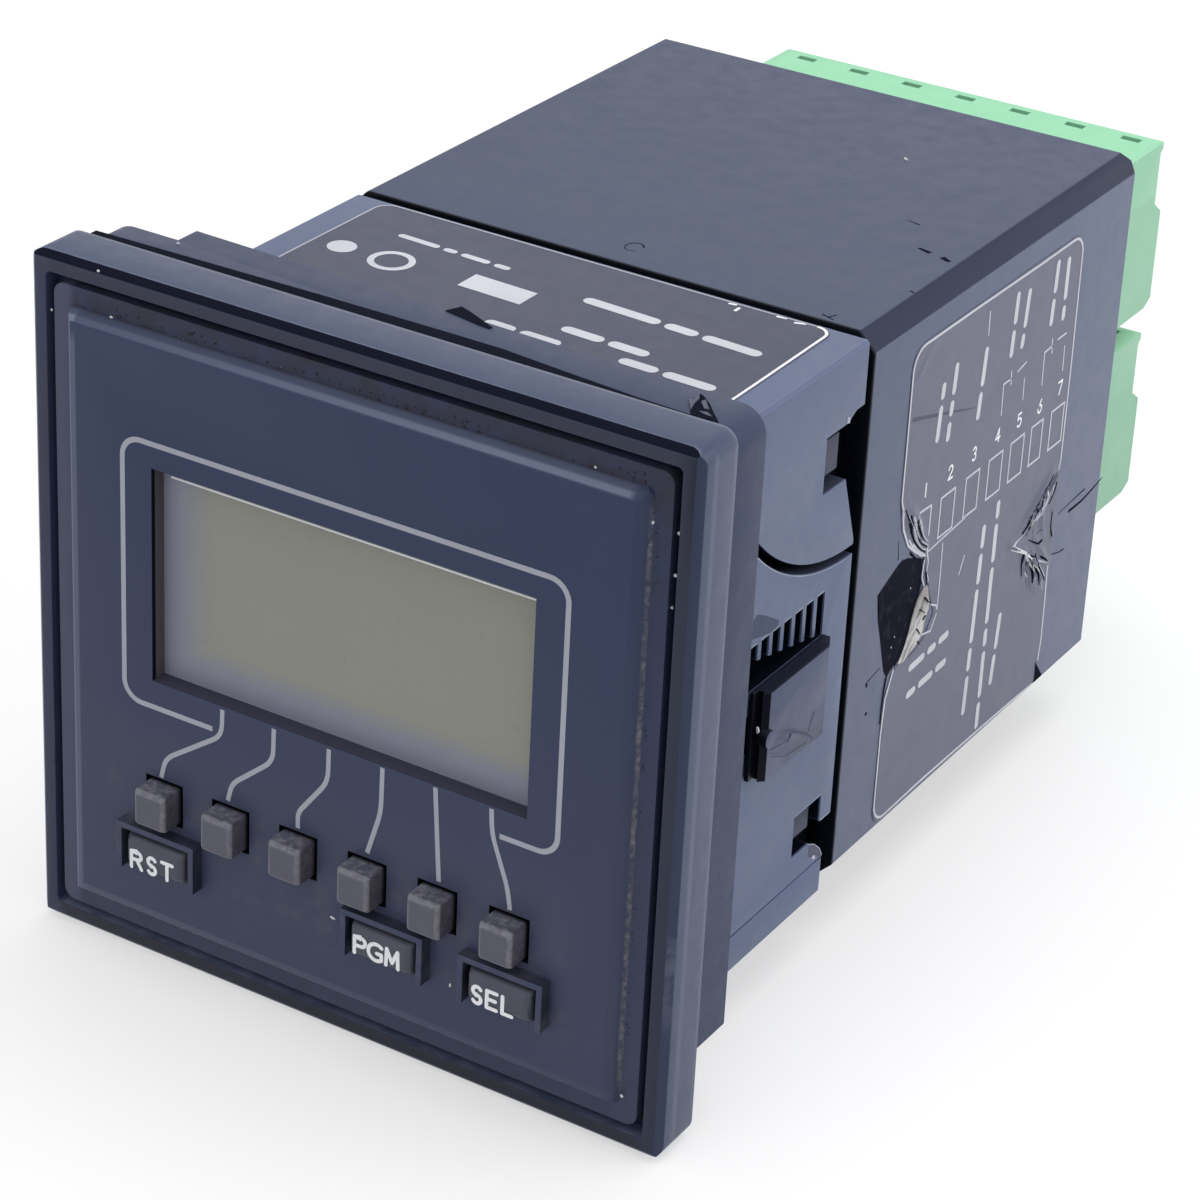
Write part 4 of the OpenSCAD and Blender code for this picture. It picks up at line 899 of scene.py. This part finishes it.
PALE_STREAKS = [
    [(30.1, 5.1), (30.8, 3.8), (31.6, 2.5), (32.6, 1.4), (33.5, 1.0)],
    [(30.8, 4.8), (31.5, 3.4), (32.3, 2.2), (33.5, 1.4)], [(31.6, 4.5), (32.0, 3.5), (32.6, 2.4), (33.6, 1.5)],
    [(30.5, 3.0), (31.5, 1.8), (32.8, 0.7), (33.3, 0.5)], [(31.3, 2.3), (32.2, 1.4), (33.1, 0.8)],
    [(33.6, 1.2), (34.2, -0.4), (34.0, -1.0), (34.5, -2.0), (34.2, -2.4)],
    [(33.5, 0.1), (33.4, -0.5), (33.3, -1.3), (33.7, -2.0), (34.6, -3.2), (35.0, -4.1), (34.7, -4.8), (34.1, -5.4)],
    [(55.1, -2.4), (54.8, -3.3), (54.4, -3.9), (54.0, -4.5), (53.4, -4.8)],
    [(55.6, -3.0), (55.1, -3.9), (54.7, -4.2), (54.5, -5.0)], [(52.4, -4.2), (51.8, -4.7), (51.1, -5.1)],
    [(56.2, -2.6), (55.9, -3.5)], [(52.0, -7.3), (52.6, -8.2), (53.6, -9.3), (54.5, -10.4)],
    [(52.9, -8.1), (54.6, -9.6), (55.5, -10.7), (56.0, -11.9)], [(54.0, -8.5), (55.1, -9.5), (56.2, -10.8)],
    [(54.7, -8.8), (56.2, -9.6)], [(52.0, -8.6), (52.7, -9.4)], [(49.3, -5.3), (51.0, -5.1)],
    [(52.4, -4.8), (53.7, -4.3), (54.6, -3.4)], [(53.4, -4.7), (55.0, -3.8), (56.0, -2.6)],
    [(53.6, -8.7), (54.2, -9.8)],
]
DARK_STREAKS = [
    [(29.5, 5.8), (30.4, 4.0), (31.3, 2.6), (32.5, 1.4), (33.4, 0.8)],
    [(30.4, 5.0), (31.3, 3.4), (32.2, 2.1), (33.5, 1.2)], [(31.4, 4.2), (32.0, 3.0), (32.9, 2.0)],
    [(31.0, 1.7), (32.1, 0.7), (33.2, 0.2)], [(33.4, 0.5), (33.2, -0.1)], [(34.0, -1.1), (34.4, -2.5)],
    [(28.8, -7.7), (28.6, -8.6), (28.5, -9.6), (28.4, -11.5)],
    [(55.8, -1.6), (55.2, -2.3), (54.3, -2.5), (53.3, -3.1), (53.1, -3.9)],
    [(54.3, -2.5), (53.5, -3.1), (53.1, -3.8), (53.1, -4.5)], [(52.0, -3.6), (51.7, -4.6), (50.8, -4.8)],
    [(56.6, -2.6), (56.5, -3.2), (55.7, -4.0), (55.5, -4.1)], [(51.4, -6.8), (51.3, -7.8), (51.6, -8.9)],
    [(51.6, -6.8), (53.0, -7.7), (54.0, -8.1)], [(52.4, -7.9), (53.1, -8.9), (53.8, -10.4)],
    [(53.3, -8.4), (54.7, -10.0), (55.3, -11.2)], [(54.1, -8.4), (55.5, -10.1), (56.3, -11.2)],
    [(54.9, -8.5), (56.2, -9.4)], [(51.0, -4.9), (52.2, -4.0), (53.8, -2.9), (55.4, -2.1)],
    [(52.1, -5.0), (53.3, -3.9), (54.8, -2.6)], [(52.6, -7.5), (53.3, -8.9), (53.7, -9.9)],
    [(53.8, -7.8), (54.9, -9.6), (55.5, -10.9)], [(55.0, -7.1), (54.0, -7.0), (52.3, -6.0)],
    [(56.8, -7.5), (56.3, -6.4), (56.4, -5.2)],
]
for name, paths, mat, width in (("pale_creases", PALE_STREAKS, "grey_ink", 0.17),
                                ("dark_creases", DARK_STREAKS, "dark_marks_and_shade", 0.20)):
    bm = bmesh.new()
    for path in paths:
        ribbon(bm, over, fine(smooth_path(path, 0.6, 3), 0.4), width, 0.0, 0.03, ends=(1.0, 0.45))
    finish_mesh(name, bm, mat)
bm = bmesh.new()
ribbon(bm, over, fine([(49.0, -5.3), (51.6, -6.8), (53.2, -8.0)], 0.3), 0.42, 0.0, 0.04, ends=(1.0, 0.3))
for u, v in ((31.6, -1.4), (29.2, -5.3), (29.6, -4.6)):
    ribbon(bm, right, [(u, v), (u + 0.12, v - 0.2)], 0.07, 0.0, 0.02, ends=(1.0, 0.3))
finish_mesh("crease_peak", bm, "white")
# Darker smears on the label, partly smudge and partly painted shade among the wrinkles of the crumple
bm = bmesh.new()
ribbon(bm, over, fine([(29.3, 13.1), (34.0, 11.8), (39.9, 10.1)]), 0.35, 0.0, 0.008, ends=(1.0, 0.3))
ribbon(bm, over, fine([(51.4, -5.0), (53.2, -3.9), (55.2, -2.6), (56.6, -1.9)], 0.3), 1.1, 0.0, 0.006,
       ends=(1.2, 0.5))
ribbon(bm, over, fine([(52.2, -7.9), (53.0, -8.9), (54.2, -10.0)], 0.3), 1.3, 0.0, 0.006, ends=(1.0, 0.4))
for path in (
    [(52.4, -9.4), (53.2, -10.8)], [(56.2, -4.9), (56.4, -6.6), (56.5, -7.7)],
    [(53.0, -5.3), (53.0, -6.7), (52.9, -7.3)], [(53.8, -6.0), (55.1, -6.0)],
    [(53.2, -9.9), (53.7, -11.2)], [(54.3, -10.7), (54.5, -11.8)],
):
    ribbon(bm, over, fine(path), 0.2, 0.0, 0.008, ends=(1.0, 0.3))
finish_mesh("label_smear_and_shade", bm, "smear_and_shade")

# Label on top of the case, with its border and plain fields
top = on_top(TOP_Z)
film("top_label", top, [(-18.5, 0.6), (19.6, 0.6)] + arc(18.2, 20.05, 1.35, 0, 90, 6)
     + arc(-17.2, 20.05, 1.3, 90, 180, 6), 2.0, "top_label", 0.03)
bm = bmesh.new()
ribbon(bm, top, [(19.4, 0.8), (19.4, 10.0)] + arc(18.15, 20.0, 1.2, 0, 90, 6), 0.26, TOP_FILM, TOP_INK,
       ends=(0.7, 1.0))
for path in ([(12.2, 20.0), (12.2, 20.7)], [(15.0, 21.0), (15.8, 21.1)], [(16.5, 20.8), (17.3, 21.1)],
             [(11.2, 20.9), (11.8, 21.0)]):
    ribbon(bm, top, path, 0.22, TOP_FILM, TOP_INK)
finish_mesh("top_label_border", bm, "white")
bm = bmesh.new()
ribbon(bm, top, [(-18.4, 0.8), (-18.4, 10.0)] + arc(-17.1, 20.0, 1.25, 180, 90, 6) + [(0.0, 21.2), (18.1, 21.2)],
       0.16, TOP_FILM, TOP_INK)
finish_mesh("top_label_edge", bm, "print")
bm = bmesh.new()
words(bm, top, (-14.0, 16.9), (-4.2, 16.5), [3.8, 1.2, 2.6, 1.4], 0.6, h1=TOP_INK)
words(bm, top, (2.8, 15.3), (17.4, 14.6), [6.2, 2.6, 4.6], 1.0, h1=TOP_INK)
words(bm, top, (4.2, 10.2), (11.3, 9.9), [3.4, 3.2], 1.0, h1=TOP_INK)
words(bm, top, (10.1, 8.1), (17.7, 7.9), [3.0, 4.0], 1.0, h1=TOP_INK)
words(bm, top, (-0.6, 7.9), (5.6, 7.7), [2.4, 3.2], 1.0, h1=TOP_INK)
prism(bm, top, arc(-16.0, 12.6, 1.1, 0, 345, 23), 0.02, TOP_INK)
ribbon(bm, top, arc(-11.7, 12.6, 1.5, 0, 345, 23), 0.5, 0.02, TOP_INK, closed=True)
prism(bm, top, [(-5.6, 11.9), (-0.3, 11.7), (-0.3, 14.1), (-5.6, 14.3)], 0.02, TOP_INK)
finish_mesh("top_label_fields", bm, "grey_ink")


# Wear, and painted shade and highlights: the gap behind the rim, chips, scuffs, pale slot edges, dark patches and dust

# The case's ratchet teeth and the circle of its arc slot
TEETH, FIRST_TOOTH, TOOTH_PITCH = 7, 7.1, 1.58
ARC_Z, ARC_R = 26.4, 20.83


def flakes(name, spots, mat, seed, body=BODY):
    """Small uneven crumbs: (x, y, z), size, stretch."""
    rnd = random.Random(seed)
    bm = bmesh.new()
    for (x, y, z), size, stretch in spots:
        made = bmesh.ops.create_icosphere(bm, subdivisions=2, radius=1.0)
        turn = Matrix.Rotation(rnd.uniform(0, math.pi), 3, "Y")
        for v in made["verts"]:
            k = 1 + 0.45 * noise.noise(v.co * 2.3 + Vector((x, y, z)))
            p = turn @ Vector((v.co.x * stretch, v.co.y * 0.6, v.co.z)) * (size * k)
            v.co = (Vector((x, y, z)) + p) * MM
    return finish_mesh(name, bm, mat, body, smooth=True)


flakes("dust_specks", [
    ((23.18, -9.1, 20.85), 0.14, 1.0), ((-19.62, -9.1, 23.13), 0.15, 1.4), ((18.85, -9.1, 23.38), 0.09, 1.0),
    ((-20.7, -9.1, 26.3), 0.11, 1.0), ((0.15, -10.12, -16.6), 0.11, 2.0), ((24.9, -8.65, 20.4), 0.14, 1.0),
    ((24.8, -8.65, 17.4), 0.12, 1.2), ((24.7, -8.65, 15.1), 0.11, 1.0), ((-19.82, -1.54, 26.0), 0.13, 1.3),
    ((8.14, 53.43, 22.12), 0.13, 1.6), ((10.0, -10.12, -18.3), 0.08, 2.2), ((-24.7, -9.2, 22.4), 0.09, 1.0),
    ((23.5, -9.3, -22.3), 0.11, 1.2),
], "dust", 4)

seal_top = on_top(SEAL_Z)
# A dark band painted as shade in the gap behind the rim, and dark marks of a chip and a tear on the seal's top
bm = bmesh.new()
prism(bm, seal_top, [(-25.7, -4.4), (24.0, -4.4), (24.0, -3.7), (18.5, -3.5), (12.6, -3.0), (7.4, -2.5), (3.0, -2.5),
                     (-6.3, -2.6), (-18.0, -2.9), (-25.7, -3.1)], -0.02, 0.012)
prism(bm, seal_top, [(1.1, 0.3), (1.6, 1.5), (2.6, 1.1), (5.1, -0.1), (5.0, -0.4), (4.1, -0.3)], -0.02, TOP_INK)
prism(bm, seal_top, [(21.2, -1.9), (21.4, -1.6), (21.3, -0.6), (21.7, -0.8), (22.6, -1.6), (23.2, -2.3),
                     (24.4, -3.6), (23.6, -3.7), (22.4, -3.7)], -0.02, 0.03)
finish_mesh("seal_gap_shade_and_marks", bm, "dark_marks_and_shade")
bm = bmesh.new()
prism(bm, seal_top, [(21.2, -1.9), (21.5, -1.7), (21.4, -0.9), (21.7, -1.4), (21.8, -2.2), (22.1, -3.2)], 0.0, 0.12)
prism(bm, seal_top, [(22.0, -1.7), (22.1, -1.3), (23.0, -2.4), (22.7, -2.5)], 0.0, 0.10)
prism(bm, seal_top, [(22.6, -3.0), (23.1, -2.8), (23.7, -3.2), (23.2, -3.2)], 0.0, 0.08)
finish_mesh("seal_flaps", bm, "smear_and_shade")

bm = bmesh.new()
for path, w, taper in (
    ([(17.1, 38.3), (18.2, 38.0)], 0.42, (0.5, 1.0)), ([(19.3, 37.8), (19.8, 37.5), (20.1, 37.4)], 0.6, (0.8, 0.5)),
    ([(14.0, 42.6), (15.1, 42.3)], 0.12, (0.4, 1.0)), ([(17.9, 23.2), (18.2, 23.9)], 0.18, (0.8, 0.4)),
    ([(17.3, 23.4), (18.4, 23.0)], 0.18, (0.8, 0.4)), ([(20.3, 30.9), (20.7, 30.7)], 0.18, (0.8, 0.6)),
):
    ribbon(bm, top, path, w, SUNK, SCUFF, ends=taper)
oval = [(0.6 + 0.65 * math.cos(math.radians(a)), 25.6 + 0.8 * math.sin(math.radians(a))) for a in range(20, 330, 20)]
ribbon(bm, top, oval, 0.12, SUNK, 0.01, ends=(1.0, 0.4))
for path, w, taper in (
    ([(59.7, -6.5), (62.2, -6.5), (64.3, -6.2), (65.9, -5.9)], 0.26, (1.0, 0.4)),
    ([(57.7, -5.9), (60.4, -5.7), (62.6, -5.6)], 0.13, (0.4, 1.0)),
    ([(57.2, -9.3), (58.6, -9.7), (59.6, -9.8)], 0.12, (0.5, 1.0)),
    ([(28.9, 3.6), (29.0, 2.8), (29.1, 1.9)], 0.12, (0.3, 1.0)),
    ([(25.5, -6.8), (26.5, -6.6), (27.7, -6.4)], 0.10, (1.0, 0.5)),
):
    ribbon(bm, right, path, w, SUNK, SCUFF, ends=taper)
prism(bm, right, [(56.3, -18.7), (56.4, -20.6), (57.9, -20.6)], 0.0, 0.06)
finish_mesh("scuff_marks", bm, "dark_marks_and_shade")
for u, v in ((25.7, -7.0), (26.0, -9.5)):
    bm = bmesh.new()
    prism(bm, right, arc(u, v, 0.16, 0, 315, 7), SUNK, SCUFF)
    finish_mesh("dot_%d" % round(u * 100), bm, "dark_marks_and_shade")
# A dark patch on the side above the front teeth
bm = bmesh.new()
prism(bm, right, [(7.2, 6.3), (7.9, 6.6), (9.1, 6.0), (11.1, 4.8), (11.0, 4.4), (9.9, 4.3), (8.5, 4.6), (7.3, 4.9)],
      SUNK, 0.008)
finish_mesh("case_dark_patch", bm, "smudge")
bm = bmesh.new()
prism(bm, right, [(19.0, 17.2), (19.5, 17.0), (19.4, 16.6), (19.0, 16.7)], SUNK, 0.02)
prism(bm, right, [(19.1, -18.2), (19.6, -18.4), (19.6, -18.7), (19.1, -18.5)], SUNK, 0.02)
finish_mesh("notch_chip", bm, "scuff")
bm = bmesh.new()
prism(bm, right, [(18.3, -16.9), (19.4, -17.4), (20.2, -18.1), (20.8, -19.0), (20.5, -19.1), (18.3, -18.1)], -0.18,
      -0.03)
finish_mesh("broken_corner", bm, "smear_and_shade")
# Pale lines painted as highlights along the edges of the broken corner, the notch, the teeth and the arc slot's lower
# lip
bm = bmesh.new()
ribbon(bm, right, [(18.4, -16.9), (19.4, -17.4), (20.2, -18.1), (20.7, -18.9)], 0.09, -0.10, -0.01, ends=(0.6, 1.0))
ribbon(bm, right, [(15.9, -13.3), (19.8, -13.3)], 0.08, SUNK, 0.01)
ribbon(bm, right, [(19.9, -15.6), (21.4, -15.6)], 0.08, SUNK, 0.01)
for i in range(TEETH):
    y0 = FIRST_TOOTH + TOOTH_PITCH * i
    ribbon(bm, right, [(max(y0, 7.2), 4.25), (y0 + 1.1, 4.25)], 0.09, SUNK, 0.01)
lip = [(y, ARC_Z - math.sqrt(ARC_R ** 2 - (CASE_BACK - y) ** 2)) for y in [5.5 + 0.8 * i for i in range(20)]]
ribbon(bm, right, lip, 0.10, SUNK, 0.01, ends=(1.0, 0.6))
finish_mesh("slot_edge_highlights", bm, "edge")
# Filler in the groove of each latch's top, and scratches on the right latch
for name, sign in (("latch_right", 1), ("latch_left", -1)):
    bm = bmesh.new()
    groove = [(sign * u, v) for u, v in ((22.55, 8.7), (23.13, 8.7), (23.13, 16.5), (22.55, 16.5))]
    prism(bm, on_top(LATCH_TOP), groove, -0.4, -0.02)
    finish_mesh(name + "_fill", bm, "latch", name)
latch_face = on_right(LATCH_X - 0.02)
bm = bmesh.new()
for path, w in (
    ([(8.2, -3.6), (10.0, -3.9), (10.8, -3.9), (11.2, -3.6), (12.1, -4.0), (13.3, -4.6), (14.5, -5.6)], 0.14),
    ([(13.7, -4.7), (14.0, -4.0), (14.4, -3.4)], 0.10), ([(10.7, -4.1), (11.0, -3.9), (11.0, -3.5)], 0.26),
    ([(8.5, -4.3), (10.6, -5.2), (13.5, -5.5)], 0.10),
):
    ribbon(bm, latch_face, smooth_path(path, 0.4, 3), w, -0.02, 0.015, ends=(0.6, 1.0))
finish_mesh("latch_scratches", bm, "smudge", "latch_right")
# A pale fleck near the right latch's front end, painted as the glint on its nub
flakes("latch_nub_glint", [((23.0, 7.42, -1.9), 0.14, 1.8)], "dust", 9, "latch_right")

# Grit along the foot of the raised panel, and in the groove
GRIT_ABOVE, GRIT_RIGHT, GRIT_Y = 150, 30, -9.08
rnd = random.Random(11)
spots = []
for _ in range(GRIT_ABOVE):
    x = rnd.uniform(-22.5, 22.5)
    spots.append(((x, GRIT_Y, 23.15 + rnd.uniform(-0.1, 0.9) ** 2), rnd.uniform(0.03, 0.075), rnd.uniform(1.0, 1.8)))
for _ in range(GRIT_RIGHT):
    spots.append(((23.45 + rnd.uniform(0.0, 0.5) ** 2, GRIT_Y, rnd.uniform(-20.0, 21.0)), rnd.uniform(0.03, 0.06),
                  rnd.uniform(1.0, 1.6)))
flakes("grit", spots, "grit", 5)
flakes("pale_grit", [(p, s * 0.8, t) for p, s, t in spots[::6]], "scuff", 6)


# Stage: pale floor, soft light, camera

FLOOR_SIZE, FLOOR_GAP = 4.0, 0.0002
# How the floor and the world look to rays that show the backdrop: colour and glow of the floor
FLOOR_SEEN, FLOOR_GLOW = (0.44, 0.44, 0.445), 0.52


def backdrop_rays(n):
    """1 for the rays that show the pale backdrop: those of the camera, of reflections and through glass."""
    path = n.add("ShaderNodeLightPath").outputs
    return n.most(path["Is Camera Ray"], path["Is Glossy Ray"], path["Is Transmission Ray"])


mesh = bpy.data.meshes.new("floor")
bm = bmesh.new()
bmesh.ops.create_grid(bm, x_segments=1, y_segments=1, size=FLOOR_SIZE)
bm.to_mesh(mesh)
bm.free()
floor = bpy.data.objects.new("floor", mesh)
floor.location.z = cad_box[0].z - FLOOR_GAP
bpy.context.collection.objects.link(floor)
mat, n, bsdf = new_material("floor_white")
x, y, z = n.place(n.coords())
seen = backdrop_rays(n)
bounce = n.ramp(n.plus(y, n.times(x, 0.3)), -250.0, 250.0, 0.30, 0.95)
n.wire(n.mix(seen, bounce, FLOOR_SEEN), bsdf.inputs["Base Color"])
bsdf.inputs["Emission Color"].default_value = (1.0, 1.0, 1.0, 1)
n.wire(n.times(seen, FLOOR_GLOW), bsdf.inputs["Emission Strength"])
bsdf.inputs["Roughness"].default_value = 0.9
bsdf.inputs["Specular IOR Level"].default_value = 0.0
mesh.materials.append(mat)

# The world is brighter above and behind than below and in front
world = bpy.data.worlds.new("studio")
bpy.context.scene.world = world
world.use_nodes = True
n = Nodes(world.node_tree)
x, y, z = n.split(n.coords("Generated"))
level = n.plus(n.plus(n.times(z, 0.30), n.times(y, 0.20)), 0.62)
level = n.calc("MINIMUM", n.most(level, 0.25), 1.0)
seen = backdrop_rays(n)
level = n.plus(n.times(level, n.less(1.0, seen)), seen)
back = world.node_tree.nodes["Background"]
back.inputs["Color"].default_value = (1.0, 1.0, 1.0, 1)
n.wire(level, back.inputs["Strength"])


def area_light(name, place, aim, size, power):
    light = bpy.data.lights.new(name, "AREA")
    light.shape = "DISK"
    light.size = size
    light.energy = power
    obj = bpy.data.objects.new(name, light)
    obj.location = place
    obj.rotation_mode = "QUATERNION"
    obj.rotation_quaternion = (Vector(aim) - Vector(place)).to_track_quat("-Z", "Y")
    bpy.context.collection.objects.link(obj)


area_light("overhead", (0.05, 0.15, 0.75), (0, 0.03, 0), 0.6, 2.0)
area_light("right_rear", (0.70, 0.35, 0.30), (0, 0.03, 0), 0.6, 2.0)
area_light("front_fill", (-0.15, -0.80, 0.35), (0, 0, 0), 0.7, 2.0)

# The photograph's camera: its right, up and backward directions, and its place in millimetres
CAMERA_AXES = ((0.84591, 0.53152, 0.04387), (-0.26490, 0.34734, 0.89955), (0.46289, -0.77256, 0.43461))
CAMERA_PLACE = (126.58, -190.89, 126.50)
cam_data = bpy.data.cameras.new("camera")
cam_data.sensor_width = 36.0
cam_data.lens = 112.63
cam_data.shift_x = 0.01667
cam_data.shift_y = -0.125
cam_data.clip_start = 0.01
cam_data.clip_end = 20.0
cam = bpy.data.objects.new("camera", cam_data)
axes = Matrix(CAMERA_AXES).transposed().to_4x4()
axes.translation = Vector(CAMERA_PLACE) * MM
cam.matrix_world = axes
bpy.context.collection.objects.link(cam)
bpy.context.scene.camera = cam
bpy.context.scene.view_settings.view_transform = "Standard"
